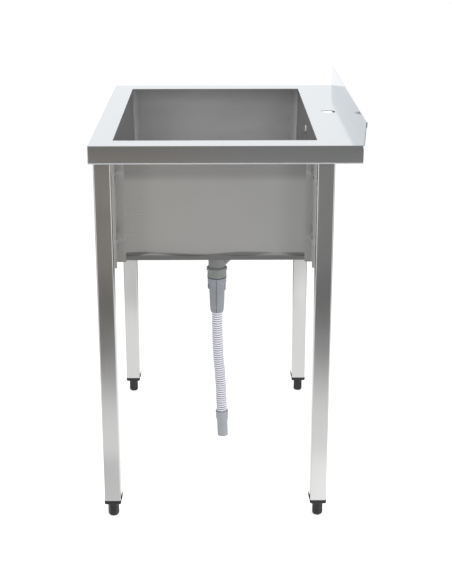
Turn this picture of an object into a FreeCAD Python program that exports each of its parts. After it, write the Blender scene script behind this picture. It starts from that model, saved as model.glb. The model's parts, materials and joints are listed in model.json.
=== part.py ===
import FreeCAD, Part
import os
import math
from FreeCAD import Vector as V

os.makedirs("parts", exist_ok=True)

# Free-standing stainless utility sink: 800 long x 600 deep x 900 high worktop with a 50 upstand.
# Frame: +Z up, floor at z = 0, user side at -Y, upstand (wall side) at +Y, long side along X.
# All lengths in millimetres.

# ------------------------------------------------------------------ driving dimensions
HALF_L = 400.0          # half of the length along X
Y_FRONT = -300.0        # outer face of the front apron
Y_FOLD = 296.0          # outer face of the rear fold, where the upstand starts
Y_BACK = 300.06         # rearmost face, on the hem of the upstand
Z_TOP = 900.0           # worktop surface
APRON_H = 40.0          # height of the folded apron
T = 1.2                 # worktop sheet
HEM_H = 10.0            # height of the closed hem along the apron's lower edge
HEM_T = 1.3             # thickness that the hem adds inside
UP_H = 50.5             # height of the upstand above the worktop
UP_BASE = 294.8         # front face of the upstand at the worktop
UP_TOP = 297.5          # front face of the upstand at its top: it leans 3 degrees back
OPEN_X = 341.0          # half length of the bowl opening
OPEN_Y0 = -249.5        # front edge of the bowl opening
OPEN_Y1 = 198.5         # rear edge of the bowl opening
TB = 1.0                # bowl sheet
BOWL_R = 2.5            # inner radius of the bowl's welded upright corners
BOWL_RF = 20.0          # inner radius between walls and floor
BOWL_Z = 621.7          # inner floor of the bowl beside the walls
FALL = 6.0              # fall of the floor to the waste
DX, DY = 0.0, -22.5     # axis of the waste
SEAT_R = 58.5           # pressed seat for the waste in the floor
SEAT_Z = 612.6          # inner face of the seat
TAP_X, TAP_Y, TAP_R = 0.0, 251.5, 17.5
OV_Z, OV_R = 851.0, 11.0        # overflow hole in the bowl's rear wall
LEG = 38.0              # square leg tube
LEG_T = 1.2
LEG_R = 3.0             # outer corner radius of the tube
LEG_XC = 375.0          # leg axes at x = +-375
LEG_YF = -270.7         # front leg axes
LEG_YR = 215.9          # rear leg axes
LEG_Z0 = 45.3           # lower end of the tubes
LEG_Z1 = 898.3
BR_T = 1.5              # leg bracket sheet
BR_GAP = 1.0            # bracket stands off the tube by the flange of the rivet nuts
BR_X0 = 343.5           # plane of the bracket's welded flange, on the bowl's end wall at 342
BR_X1 = 390.0           # outer face of the bracket's lip
BR_LIP = 7.0
BR_Z0 = 622.5
BOLT_Z = (821.0, 685.0)
CAP_Z0 = 36.0           # underside of the leg cap, stop for the foot
STUD_TOP = 98.0         # upper end of the foot's stud: 25 of travel keep it through the nut
HOSE_R = 14.35          # outer radius of the corrugated hose

# route of the hanging drain hose (straight runs joined by tangent arcs)
ROUTE = [(0.0, -22.3, 388.0), (0.4, -22.0, 327.0), (0.9, -20.3, 263.0), (0.3, -14.3, 199.0),
         (-0.4, -12.2, 142.0), (0.0, -10.4, 90.5)]


# ------------------------------------------------------------------ helpers
def box(x0, x1, y0, y1, z0, z1):
    return Part.makeBox(x1 - x0, y1 - y0, z1 - z0, V(x0, y0, z0))


def cyl(r, p, d, h):
    return Part.makeCylinder(r, h, V(*p), V(*d))


def zcyl(r, x, y, z0, z1):
    return Part.makeCylinder(r, z1 - z0, V(x, y, z0), V(0, 0, 1))


def lathe(pts, x=0.0, y=0.0, z=0.0):
    """Solid of revolution about a vertical axis: pts are (radius, height)."""
    vs = [V(r, 0, h) for r, h in pts]
    w = Part.makePolygon(vs + [vs[0]])
    s = Part.Face(w).revolve(V(0, 0, 0), V(0, 0, 1), 360)
    if s.ShapeType != "Solid":
        s = s.Solids[0]
    s.translate(V(x, y, z))
    return s


def place(shape, p, d):
    """Turns a shape made along +Z so that it points along d, from point p."""
    s = shape.copy()
    s.Placement = FreeCAD.Placement(V(*p), FreeCAD.Rotation(V(0, 0, 1), V(*d)))
    return s


def rect_wire(x0, x1, y0, y1, r, z):
    c = r * (1 - math.sqrt(0.5))
    e = []
    e.append(Part.makeLine(V(x0 + r, y0, z), V(x1 - r, y0, z)))
    e.append(Part.Arc(V(x1 - r, y0, z), V(x1 - c, y0 + c, z), V(x1, y0 + r, z)).toShape())
    e.append(Part.makeLine(V(x1, y0 + r, z), V(x1, y1 - r, z)))
    e.append(Part.Arc(V(x1, y1 - r, z), V(x1 - c, y1 - c, z), V(x1 - r, y1, z)).toShape())
    e.append(Part.makeLine(V(x1 - r, y1, z), V(x0 + r, y1, z)))
    e.append(Part.Arc(V(x0 + r, y1, z), V(x0 + c, y1 - c, z), V(x0, y1 - r, z)).toShape())
    e.append(Part.makeLine(V(x0, y1 - r, z), V(x0, y0 + r, z)))
    e.append(Part.Arc(V(x0, y0 + r, z), V(x0 + c, y0 + c, z), V(x0 + r, y0, z)).toShape())
    return Part.Wire(e)


def rbox(x0, x1, y0, y1, z0, z1, r):
    w = rect_wire(x0, x1, y0, y1, r, z0)
    return Part.Face(w).extrude(V(0, 0, z1 - z0))


def pick(shape, test):
    return [e for e in shape.Edges if test(e.BoundBox)]


def fillet(shape, r, test):
    es = pick(shape, test)
    if not es:
        raise RuntimeError("no edge to fillet")
    return shape.makeFillet(r, es)


def one(shape):
    s = shape.removeSplitter()
    if len(s.Solids) == 1:
        return s.Solids[0]
    return s


OUT = {}


def put(name, shape):
    s = shape
    if s.ShapeType == "Compound" and len(s.Solids) == 1:
        s = s.Solids[0]
    OUT[name] = s


# ------------------------------------------------------------------ worktop
ZB = Z_TOP - APRON_H


def worktop():
    ztu = Z_TOP - T
    # plate with rounded fold along the front and both ends
    plate = box(-HALF_L, HALF_L, Y_FRONT, 294.0, ZB + HEM_H, Z_TOP)
    plate = fillet(plate, 2.0, lambda b: b.ZLength > 5 and b.YMax < Y_FRONT + 1)
    plate = fillet(plate, 1.5, lambda b: b.ZLength < 0.01 and b.ZMin > Z_TOP - 0.1 and not b.YMin > 290)
    core = box(-HALF_L + T, HALF_L - T, Y_FRONT + T, 320.0, ZB - 5, ztu)
    core = fillet(core, 0.4, lambda b: b.ZLength < 0.01 and b.ZMin > ztu - 0.1 and not b.YMin > 300)
    plate = plate.cut(core)
    # closed hem along the lower edge of the three aprons
    ring = box(-HALF_L, HALF_L, Y_FRONT, 294.0, ZB, ZB + HEM_H)
    ring = fillet(ring, 2.0, lambda b: b.ZLength > 5 and b.YMax < Y_FRONT + 1)
    a = T + HEM_T
    ring = ring.cut(box(-HALF_L + a, HALF_L - a, Y_FRONT + a, 320.0, ZB - 5, ZB + HEM_H + 5))
    ring = fillet(ring, 1.1, lambda b: b.ZLength < 0.01 and b.ZMax < ZB + 0.1
                  and not (b.YMin > 290 and b.XLength < 5))
    w = plate.fuse(ring)
    # upstand: leans back, closed hem on its top edge
    slope = (UP_TOP - UP_BASE) / UP_H

    def yf(z):
        return UP_BASE + slope * (z - Z_TOP)
    zt = Z_TOP + UP_H
    p = [V(0, 290, ztu), V(0, 290, Z_TOP), V(0, UP_BASE, Z_TOP), V(0, UP_TOP, zt), V(0, Y_BACK, zt),
         V(0, Y_BACK - slope * 12, zt - 12), V(0, yf(zt - 12) + T, zt - 12), V(0, yf(ztu) + T, ztu)]
    prof = Part.Face(Part.makePolygon(p + [p[0]])).extrude(V(2 * HALF_L, 0, 0))
    prof.translate(V(-HALF_L, 0, 0))

    def along(y, z):
        return lambda b: b.XLength > 700 and abs(b.YMin - y) < 0.05 and abs(b.ZMin - z) < 0.05
    prof = prof.makeFillet(1.0, pick(prof, along(UP_BASE, Z_TOP)))
    prof = prof.makeFillet(2.2, pick(prof, along(yf(ztu) + T, ztu)))
    prof = prof.makeFillet(1.1, pick(prof, along(UP_TOP, zt)) + pick(prof, along(Y_BACK, zt)))
    w = w.cut(box(-HALF_L - 1, HALF_L + 1, 290, 300, ztu, Z_TOP + 1))
    w = w.cut(box(-HALF_L - 1, -HALF_L + 12, 290, 300, ztu - 4.5, Z_TOP + 1))
    w = w.cut(box(HALF_L - 12, HALF_L + 1, 290, 300, ztu - 4.5, Z_TOP + 1))
    w = w.fuse(prof)
    # bowl opening, its upper edge eased
    hole = rbox(-OPEN_X, OPEN_X, OPEN_Y0, OPEN_Y1, ztu - 3, Z_TOP + 3, BOWL_R)
    w = w.cut(hole)
    w = w.cut(zcyl(TAP_R, TAP_X, TAP_Y, ztu - 5, Z_TOP + 5))
    w = one(w)
    rim = [e for e in w.Edges if abs(e.BoundBox.ZMin - Z_TOP) < 0.01 and e.BoundBox.ZLength < 0.01
           and e.BoundBox.XMin > -OPEN_X - 0.1 and e.BoundBox.XMax < OPEN_X + 0.1
           and e.BoundBox.YMin > OPEN_Y0 - 0.1 and e.BoundBox.YMax < OPEN_Y1 + 0.1]
    w = w.makeFillet(0.8, rim)
    return one(w)


put("worktop", worktop())

# rear apron: folded angle welded under the tap ledge, between the end aprons
ra = box(-HALF_L + T, HALF_L - T, 291.8, 293.0, ZB, Z_TOP - T).fuse(
    box(-HALF_L + T, HALF_L - T, 281.8, 293.0, ZB, ZB + T)).fuse(
    box(-HALF_L + T, HALF_L - T, 279.8, 293.0, Z_TOP - 2 * T, Z_TOP - T))
ra = one(ra)
ra = ra.cut(box(-HALF_L, -HALF_L + T + HEM_T, 270, 300, ZB - 1, ZB + HEM_H + 0.5))
ra = ra.cut(box(HALF_L - T - HEM_T, HALF_L, 270, 300, ZB - 1, ZB + HEM_H + 0.5))
for sx in (-1, 1):
    xa, xb = sorted((sx * (HALF_L - T - 1.4), sx * (HALF_L + 1)))
    ra = ra.cut(box(xa, xb, 270, 300, Z_TOP - T - 1.4, Z_TOP))
ra = fillet(one(ra), 1.1, lambda b: b.XLength > 700 and b.YMax > 292.9)
put("rear_apron", ra)


# ------------------------------------------------------------------ bowl
def bowl_solid(o, zf, zt):
    """Folded box of the bowl, o = outward offset from the inner face, zf = floor level, zt = top."""
    x, y0, y1 = OPEN_X + o, OPEN_Y0 - o, OPEN_Y1 + o
    r = BOWL_RF + o
    ends = fillet(box(-x, x, y0, y1, zf, zt), r, lambda b: b.YLength > 100 and b.XLength < 0.01 and b.ZMax < zf + 0.01)
    sides = fillet(box(-x, x, y0, y1, zf, zt), r, lambda b: b.XLength > 100 and b.YLength < 0.01 and b.ZMax < zf + 0.01)
    low = ends.common(sides).common(rbox(-x, x, y0, y1, zf - 1, zt + 1, BOWL_R + o))
    # four shallow planes fall to the waste
    hx, hy = 300.0, 185.0
    a = [V(DX - hx, DY - hy, zf), V(DX + hx, DY - hy, zf), V(DX + hx, DY + hy, zf), V(DX - hx, DY + hy, zf)]
    p = V(DX, DY, zf - FALL)
    fs = [Part.Face(Part.makePolygon(a + [a[0]]))]
    for i in range(4):
        fs.append(Part.Face(Part.makePolygon([a[i], a[(i + 1) % 4], p, a[i]])))
    pyr = Part.Solid(Part.makeShell(fs))
    if pyr.Volume < 0:
        pyr.reverse()
    return one(low.fuse(pyr))


def bowl():
    lo_o = bowl_solid(TB, BOWL_Z - TB, Z_TOP - T)
    lo_i = bowl_solid(0.0, BOWL_Z, Z_TOP + 4)
    outer = lo_o.fuse(zcyl(SEAT_R + TB, DX, DY, SEAT_Z - TB, BOWL_Z + 3))
    inner = lo_i.fuse(zcyl(SEAT_R, DX, DY, SEAT_Z, BOWL_Z + 5))
    low = outer.cut(inner)
    fl = rbox(-OPEN_X - 9, OPEN_X + 9, OPEN_Y0 - 9, OPEN_Y1 + 9, Z_TOP - T - 1.0, Z_TOP - T, 4.0).cut(
        rbox(-OPEN_X, OPEN_X, OPEN_Y0, OPEN_Y1, Z_TOP - T - 5, Z_TOP, BOWL_R))
    b = low.fuse(fl)
    b = b.cut(zcyl(44.5, DX, DY, SEAT_Z - 20, SEAT_Z + 20))
    b = b.cut(cyl(OV_R, (0, OPEN_Y1 - 10, OV_Z), (0, 1, 0), 30))
    return one(b)


put("bowl", bowl())


# ------------------------------------------------------------------ legs, brackets, fasteners
def tube(x, y):
    h = LEG / 2
    o = rbox(x - h, x + h, y - h, y + h, LEG_Z0, LEG_Z1, LEG_R)
    i = rbox(x - h + LEG_T, x + h - LEG_T, y - h + LEG_T, y + h - LEG_T, LEG_Z0 - 5, LEG_Z1 + 5, LEG_R - LEG_T)
    return o.cut(i)


def bracket_right(side):
    """Bracket at +X; side = +1 for a front leg (web on its +Y face), -1 for a rear leg."""
    yc = LEG_YF if side > 0 else LEG_YR
    face = yc + side * LEG / 2
    w0 = face + side * BR_GAP
    w1 = w0 + side * BR_T

    def yb(a, b):
        return (min(a, b), max(a, b))
    ztop = Z_TOP - T
    fl_w = 24.0 if side > 0 else 20.5
    web = box(BR_X0 - BR_T, BR_X1, *yb(w0, w1), BR_Z0, ztop - 1.5)
    web = web.fuse(box(353.0, BR_X1, *yb(w0, w1), ztop - 2, ztop))
    lip = box(BR_X1 - BR_T, BR_X1, *yb(w0, w0 + side * BR_LIP), BR_Z0, ztop)
    fl = box(BR_X0 - BR_T, BR_X0, *yb(w0, w0 + side * fl_w), BR_Z0, ztop - 1.5)
    tab = box(353.0, BR_X1, *yb(w0, w0 + side * 15.0), ztop - BR_T, ztop)
    s = one(web.fuse(lip).fuse(fl).fuse(tab))
    # rounded lower corners of lip and flange
    es = []
    for e in s.Edges:
        b = e.BoundBox
        if b.XLength < BR_T + 0.01 and b.YLength < 0.01 and b.XLength > 1 and b.ZMax < BR_Z0 + 0.01:
            if abs(b.YMin - (w0 + side * BR_LIP)) < 0.05 or abs(b.YMin - (w0 + side * fl_w)) < 0.05:
                es.append(e)
    s = s.makeFillet(2.0, es)
    # outer bends
    es = []
    for e in s.Edges:
        b = e.BoundBox
        if b.ZLength > 200 and b.XLength < 0.01 and b.YLength < 0.01 and abs(b.YMin - w0) < 0.05:
            if abs(b.XMin - BR_X1) < 0.05 or abs(b.XMin - (BR_X0 - BR_T)) < 0.05:
                es.append(e)
    s = s.makeFillet(1.4, es)
    for z in BOLT_Z:
        s = s.cut(cyl(4.3, (LEG_XC, yc - 60, z), (0, 1, 0), 120))
    return s


def mirror_x(s):
    return s.mirror(V(0, 0, 0), V(1, 0, 0))


LEGS = {"front_right": (1, LEG_YF, 1), "front_left": (-1, LEG_YF, 1),
        "rear_right": (1, LEG_YR, -1), "rear_left": (-1, LEG_YR, -1)}


def hexagon(af, h, r_top=0.0):
    r = af / math.sqrt(3)
    pts = [V(r * math.cos(math.radians(60 * i)), r * math.sin(math.radians(60 * i)), 0) for i in range(6)]
    s = Part.Face(Part.makePolygon(pts + [pts[0]])).extrude(V(0, 0, h))
    # chamfered crown, as on a forged head
    c = lathe([(0, 0), (r + 1, 0), (r + 1, h - 0.9), (af / 2 - 0.3, h), (0, h)])
    return s.common(c)


bolts, washers, rivnuts = [], [], []
for name, (sx, yc, side) in LEGS.items():
    t = tube(sx * LEG_XC, yc)
    face = yc + side * LEG / 2
    for z in BOLT_Z:
        t = t.cut(cyl(5.5, (sx * LEG_XC, face - side * 6, z), (0, side, 0), 12))
    put("leg_" + name, one(t))
    b = bracket_right(side)
    put("leg_bracket_" + name, b if sx > 0 else mirror_x(b))
    ow = face + side * (BR_GAP + BR_T)      # outer face of the bracket's web
    for z in BOLT_Z:
        d = (0, side, 0)
        # hexagon bolt M8 x 18
        head = place(hexagon(13.0, 5.3), (sx * LEG_XC, ow + side * 1.6, z), d)
        shank = cyl(3.95, (sx * LEG_XC, ow + side * 1.7, z), (0, -side, 0), 18)
        bolts.append(head.fuse(shank))
        w = cyl(8.0, (sx * LEG_XC, ow, z), d, 1.6).cut(cyl(4.2, (sx * LEG_XC, ow - side, z), d, 5))
        washers.append(w)
        n = cyl(8.0, (sx * LEG_XC, face, z), d, BR_GAP).fuse(
            cyl(5.45, (sx * LEG_XC, face - side * 13.0, z), d, 13.2)).fuse(
            cyl(6.6, (sx * LEG_XC, face - side * (LEG_T + 2.6), z), d, 2.6))
        n = n.cut(cyl(3.98, (sx * LEG_XC, face - side * 20, z), d, 30))
        rivnuts.append(n)
put("leg_bolts", Part.makeCompound(bolts))
put("leg_washers", Part.makeCompound(washers))
put("leg_rivet_nuts", Part.makeCompound(rivnuts))


# ------------------------------------------------------------------ leg caps and adjustable feet
def leg_cap(x, y, side):
    """Moulded plug: square flange under the tube, ribbed plug inside it, tongue beside the inner face."""
    h = LEG / 2
    o = 0.7
    fl = rbox(x - h - o, x + h + o, y - h - o, y + h + o, CAP_Z0, LEG_Z0, 3.4)
    fl = fl.makeFillet(1.6, pick(fl, lambda b: b.ZMax < CAP_Z0 + 0.01))
    r = h - LEG_T - 0.05
    plug = rbox(x - r, x + r, y - r, y + r, LEG_Z0 - 1, LEG_Z0 + 32, 1.7)
    plug = plug.cut(rbox(x - r + 2.2, x + r - 2.2, y - r + 2.2, y + r - 2.2, LEG_Z0, LEG_Z0 + 40, 1.0))
    hub = zcyl(10.5, x, y, LEG_Z0 - 1, LEG_Z0 + 30)
    ribs = box(x - r + 1, x + r - 1, y - 1.2, y + 1.2, LEG_Z0 - 1, LEG_Z0 + 24).fuse(
        box(x - 1.2, x + 1.2, y - r + 1, y + r - 1, LEG_Z0 - 1, LEG_Z0 + 24))
    s = fl.fuse(plug).fuse(hub).fuse(ribs)
    # bore for the stud and closed hexagon pocket: the nut is moulded in
    s = s.cut(zcyl(5.4, x, y, CAP_Z0 - 5, LEG_Z0 + 60))
    nut = hexagon(17.0, 8.0)
    nut.translate(V(x, y, LEG_Z0 + 18.0))
    pocket = Part.Face(hex_wire(17.1, x, y, LEG_Z0 + 18.0)).extrude(V(0, 0, 8.0))
    s = s.cut(pocket)
    # tongue, leaning a little away from the tube
    ya = y + side * (h + o - 0.4)
    yb2 = ya + side * 1.7
    top = 3.0 * side
    pts = [V(0, ya, LEG_Z0 - 2.0), V(0, yb2, LEG_Z0 - 2.0), V(0, yb2 + top, LEG_Z0 + 15.5),
           V(0, ya + top, LEG_Z0 + 15.5)]
    tg = Part.Face(Part.makePolygon(pts + [pts[0]])).extrude(V(13, 0, 0))
    tg.translate(V(x - 6.5, 0, 0))
    tg = tg.makeFillet(0.8, pick(tg, lambda b: b.XLength > 10 and b.ZMin > LEG_Z0 + 15))
    s = s.fuse(tg)
    return one(s), nut.cut(zcyl(4.96, x, y, LEG_Z0, LEG_Z0 + 60))


def hex_wire(af, x, y, z, turn=0.0):
    r = af / math.sqrt(3)
    pts = [V(x + r * math.cos(math.radians(60 * i + turn)), y + r * math.sin(math.radians(60 * i + turn)), z)
           for i in range(6)]
    return Part.makePolygon(pts + [pts[0]])


def foot(x, y, turn):
    """Moulded foot: round collar, hexagon body with a domed end, on a steel stud."""
    body = Part.Face(hex_wire(23.2, x, y, 0.0, turn)).extrude(V(0, 0, CAP_Z0 - 4.0))
    body = body.makeFillet(1.2, pick(body, lambda b: b.ZLength > 20))
    dome = lathe([(0, 0), (6.5, 0), (9.2, 0.9), (11.2, 2.6), (12.7, 5.2), (13.6, 8.8), (13.9, 13.0),
                  (13.9, 40), (0, 40)], x, y, 0)
    body = body.common(dome)
    collar = lathe([(0, CAP_Z0 - 9.0), (11.4, CAP_Z0 - 9.0), (13.4, CAP_Z0 - 5.0), (13.4, CAP_Z0 - 0.6),
                    (12.8, CAP_Z0), (0, CAP_Z0)], x, y, 0)
    f = body.fuse(collar)
    f = f.cut(zcyl(4.9, x, y, 12.0, 60))
    stud = zcyl(4.9, x, y, 12.0, STUD_TOP)
    stud = stud.makeChamfer(0.8, pick(stud, lambda b: b.ZMin > STUD_TOP - 1))
    return one(f), stud


nuts = []
TURN = {"front_right": 90.0, "front_left": 12.0, "rear_right": 8.0, "rear_left": 50.0}
for name, (sx, yc, side) in LEGS.items():
    cap, nut = leg_cap(sx * LEG_XC, yc, side)
    put("leg_cap_" + name, cap)
    nuts.append(nut)
    f, st = foot(sx * LEG_XC, yc, TURN[name])
    put("foot_" + name, f)
    put("foot_stud_" + name, st)
put("cap_nuts", Part.makeCompound(nuts))

# ------------------------------------------------------------------ waste in the bowl floor
put("strainer_seal", lathe([(46, 612.6), (57, 612.6), (57, 613.4), (46, 613.4)], DX, DY))
sf = lathe([(41.5, 613.4), (57.6, 613.4), (58.0, 613.8), (57.6, 614.3), (42.6, 614.6), (40.6, 613.2), (40.6, 590.9),
            (3.4, 590.9), (3.4, 589.7), (40.4, 589.7), (41.5, 590.8)], DX, DY)
holes = [zcyl(6.0, DX + 26 * math.cos(math.radians(45 * i)), DY + 26 * math.sin(math.radians(45 * i)), 580, 600)
         for i in range(8)]
holes += [zcyl(2.2, DX + 13.5 * math.cos(math.radians(60 * i)), DY + 13.5 * math.sin(math.radians(60 * i)), 580, 600)
          for i in range(6)]
for h in holes:
    sf = sf.cut(h)
put("strainer_flange", sf)
# centre screw clamps flange and body on the floor
scr = lathe([(0, 590.9), (6.0, 590.9), (6.0, 592.2), (4.6, 593.8), (0, 594.0)], DX, DY).fuse(
    zcyl(2.95, DX, DY, 560.0, 591.0)).cut(box(DX - 6, DX + 6, DY - 0.6, DY + 0.6, 592.9, 596))
put("strainer_screw", one(scr))
put("waste_gasket", lathe([(46, 608.6), (57.5, 608.6), (57.5, 611.6), (46, 611.6)], DX, DY))

# moulded waste body: rim, cup, cone, threaded tail, spider for the screw, inlet for the overflow pipe
CUP_B, TAIL_T = 573.0, 556.0            # lower end of the cup's wall, upper end of the tail
wb_out = lathe([(0, 479.5), (21.8, 479.5), (21.8, 526.0), (23.2, 530.0), (23.2, TAIL_T), (46.2, CUP_B), (46.2, 600.0),
                (50.0, 604.6), (58.0, 604.6), (58.0, 608.6), (0, 608.6)], DX, DY)
wb_in = lathe([(0, 478.0), (18.2, 478.0), (18.2, 526.0), (20.2, 531.0), (20.2, TAIL_T + 1.5), (43.2, CUP_B + 1.5),
               (43.2, 610.0), (0, 610.0)], DX, DY)
spider = zcyl(8.0, DX, DY, 560.0, 585.0).fuse(
    box(DX - 44.5, DX + 44.5, DY - 1.5, DY + 1.5, 566.5, 582.0)).fuse(
    box(DX - 1.5, DX + 1.5, DY - 44.5, DY + 44.5, 566.5, 582.0)).common(wb_out)
S2 = math.sqrt(0.5)
INLET_Z = 502.6                         # the inlet's axis meets the tail's axis at this height
MOUTH = 52.0                            # distance along the inlet to the seat of the pipe


def along_inlet(s):
    return (0.0, DY + s * S2, INLET_Z + s * S2)


ax = (0, S2, S2)
spig = cyl(12.5, along_inlet(14.0), ax, MOUTH + 9.0 - 14.0).fuse(
    place(lathe([(0, 0), (12.5, 0), (13.6, 0.6), (13.6, 1.6), (12.5, 2.2), (0, 2.2)]), along_inlet(40.0), ax))
wb = wb_out.fuse(spig).cut(wb_in).cut(cyl(9.6, along_inlet(6.0), ax, 70.0)).cut(
    cyl(11.3, along_inlet(MOUTH - 1.0), ax, 20.0))
wb = wb.fuse(spider).cut(zcyl(3.0, DX, DY, 550, 600))
wb = one(wb)
if len(wb.Solids) > 1:
    wb = sorted(wb.Solids, key=lambda s: -s.Volume)[0]
# the moulding in its three plain sections: cup, threaded tail, and inlet for the overflow
put("waste_body", one(wb.common(box(-70, 70, DY - 70, DY + 70, TAIL_T, 620))))
low_part = wb.common(box(-70, 70, DY - 70, DY + 90, 470, TAIL_T))
put("waste_tail", one(low_part.common(zcyl(23.6, DX, DY, 470, TAIL_T))))
put("waste_inlet", one(low_part.cut(zcyl(23.6, DX, DY, 460, 600))))

# removable basket: perforated cup, rubber stopper under it, knob on a post
bk = lathe([(38.2, 612.2), (39.6, 612.6), (39.6, 611.8), (38.6, 611.2), (36.9, 595.6), (35.6, 594.3), (2.4, 594.3),
            (2.4, 595.1), (35.2, 595.1), (36.1, 596.0)], DX, DY)
bk = bk.removeSplitter()
for ring, n, off in ((30.0, 20, 0), (23.5, 16, 9), (17.0, 11, 0)):
    for i in range(n):
        a = math.radians(360.0 / n * i + off)
        bk = bk.cut(zcyl(1.9, DX + ring * math.cos(a), DY + ring * math.sin(a), 593, 597))
put("strainer_basket", bk)
put("basket_knob", lathe([(0, 594.5), (2.3, 594.5), (2.3, 595.1), (4.8, 595.1), (4.8, 596.3), (2.6, 597.2), (2.6, 609.0),
                          (5.2, 611.2), (8.2, 612.2), (9.2, 614.0), (8.4, 616.2), (5.0, 617.6), (0, 618.0)], DX, DY))

# ------------------------------------------------------------------ drain connector and hanging hose
put("union_nut", lathe([(22.0, 476.6), (23.9, 476.6), (24.5, 477.4), (24.5, 493.6), (25.0, 494.6), (26.5, 495.6),
                        (26.7, 496.8), (26.7, 499.6), (26.2, 501.0), (25.2, 502.6), (22.4, 502.6), (22.0, 501.6)],
                       DX, DY))
put("union_seal", lathe([(18.6, 475.2), (24.7, 475.2), (24.9, 475.9), (24.7, 476.6), (22.0, 476.6), (21.8, 479.3),
                         (18.6, 479.3)], DX, DY))
ad = lathe([(18.6, 475.2), (18.6, 458.0), (17.4, 440.0), (16.2, 414.0), (12.4, 400.0), (12.4, 388.3), (15.2, 388.3),
            (15.2, 381.2), (16.4, 380.6), (17.0, 384.0), (17.9, 391.0), (18.6, 399.0), (18.9, 409.0), (20.5, 452.0),
            (20.6, 457.6), (21.6, 458.8), (23.4, 460.0), (24.2, 461.4), (24.3, 474.6), (23.9, 475.2)], DX, DY)
lug1 = box(DX - 4.5, DX + 4.5, DY - 24.0, DY - 19.0, 444.0, 456.0)
lug2 = box(DX - 4.5, DX + 4.5, DY + 19.0, DY + 22.6, 441.0, 456.5)
seam = box(DX + 18.6, DX + 21.3, DY - 2.0, DY - 0.9, 400.0, 458.0).common(
    lathe([(15, 398), (19.1, 399.5), (19.4, 409.0), (21.0, 452.0), (21.1, 458.5), (15, 459)], DX, DY))
hole_core = lathe([(0, 475.2), (18.6, 475.2), (18.6, 458.0), (17.4, 440.0), (16.2, 414.0), (12.4, 400.0), (0, 400)],
                  DX, DY)
ad = ad.fuse(lug1.cut(hole_core)).fuse(lug2.cut(hole_core)).fuse(seam)
put("hose_adapter", one(ad))


def hose_path(pts):
    """Straight runs joined by tangent arcs; each radius is 0.45 x shorter run / tan(half turn)."""
    P = [V(*p) for p in pts]
    edges, radii = [], []
    last = P[0]
    for i in range(1, len(P) - 1):
        a, b, c = P[i - 1], P[i], P[i + 1]
        u = (b - a).normalize()
        w = (c - b).normalize()
        turn = u.getAngle(w)
        run = min((b - a).Length, (c - b).Length)
        t = 0.45 * run
        r = t / math.tan(turn / 2)
        radii.append(round(r, 1))
        p1 = b - u * t
        p2 = b + w * t
        n = (w - u).normalize()
        centre = b + n * math.sqrt(r * r + t * t)
        mid = centre + (b - centre).normalize() * r
        edges.append(Part.LineSegment(last, p1).toShape())
        edges.append(Part.Arc(p1, mid, p2).toShape())
        last = p2
    edges.append(Part.LineSegment(last, P[-1]).toShape())
    return Part.Wire(edges), radii


wire, radii = hose_path(ROUTE)
u0 = (V(*ROUTE[1]) - V(*ROUTE[0])).normalize()
ring = Part.Wire([Part.Circle(V(*ROUTE[0]), u0, HOSE_R).toShape()])
hose = wire.makePipeShell([ring], True, True)
print("hose length", round(wire.Length, 2), "radii", radii, "runs",
      [round((V(*ROUTE[i + 1]) - V(*ROUTE[i])).Length, 1) for i in range(len(ROUTE) - 1)])
print("hose volume", round(hose.Volume, 1), "section x length", round(math.pi * HOSE_R ** 2 * wire.Length, 1))
put("drain_hose", hose)

# cuff on the hose's lower end, in line with it
ue = (V(*ROUTE[-1]) - V(*ROUTE[-2])).normalize()
top = V(*ROUTE[-1]) - ue * 12.0
cuff = lathe([(14.8, 0), (16.1, 0), (16.5, 0.5), (16.7, 1.6), (16.6, 15.0), (16.2, 20.0), (14.9, 29.0), (14.1, 34.0),
              (14.1, 70.6), (13.6, 71.2), (11.9, 71.2), (11.7, 70.6), (11.7, 34.0), (12.3, 30.0), (12.9, 14.0),
              (12.9, 12.0), (14.8, 12.0)])
put("hose_cuff", place(cuff, (top.x, top.y, top.z), (ue.x, ue.y, ue.z)))

# ------------------------------------------------------------------ overflow
yw = OPEN_Y1
ro = lathe([(0, 0), (15.6, 0), (16.4, 0.5), (16.4, 1.3), (14.8, 2.5), (11.8, 2.9), (6.0, 2.1), (0, 2.1)])
for i in range(6):
    a = math.radians(60 * i + 30)
    s = box(-1.3, 1.3, 5.0, 9.8, -1, 5)
    s.rotate(V(0, 0, 0), V(0, 0, 1), math.degrees(a))
    ro = ro.cut(s)
ro = ro.cut(zcyl(2.7, 0, 0, -1, 5))
put("overflow_rosette", place(ro, (0, yw, OV_Z), (0, -1, 0)))
os_ = lathe([(0, 2.1), (4.4, 2.1), (4.4, 2.7), (3.0, 3.6), (0, 3.8)]).fuse(zcyl(2.4, 0, 0, -9.0, 2.3))
os_ = os_.cut(box(-5, 5, -0.5, 0.5, 3.1, 5))
put("overflow_screw", place(one(os_), (0, yw, OV_Z), (0, -1, 0)))
put("overflow_gasket", place(lathe([(11.2, 0), (17.0, 0), (17.0, 2.0), (11.2, 2.0)]), (0, yw + TB, OV_Z), (0, 1, 0)))
# elbow behind the wall: round cup, boss for the screw, spigot pointing down
y1 = yw + TB + 2.0
YP = 218.0                              # axis of the upright overflow pipe
cup = place(lathe([(0, 0), (17.0, 0), (17.0, 22.0), (15.0, 26.5), (0, 26.5)]), (0, y1, OV_Z), (0, 1, 0))
spg = zcyl(13.6, 0, YP - 1.5, 812.0, OV_Z)
el = cup.fuse(spg)
cin = place(lathe([(0, -1), (14.6, -1), (14.6, 21.4), (13.2, 24.2), (0, 24.2)]), (0, y1, OV_Z), (0, 1, 0))
sin_ = zcyl(9.4, 0, YP - 1.5, 805, OV_Z)
sock = zcyl(11.3, 0, YP - 1.5, 805, 830.0)
boss = place(lathe([(2.5, -0.0), (4.6, 0.0), (4.6, 24.0), (2.5, 24.0)]), (0, y1, OV_Z), (0, 1, 0))
web = box(-1.0, 1.0, y1 + 6.0, y1 + 24.0, OV_Z + 4.0, OV_Z + 14.8)
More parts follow.
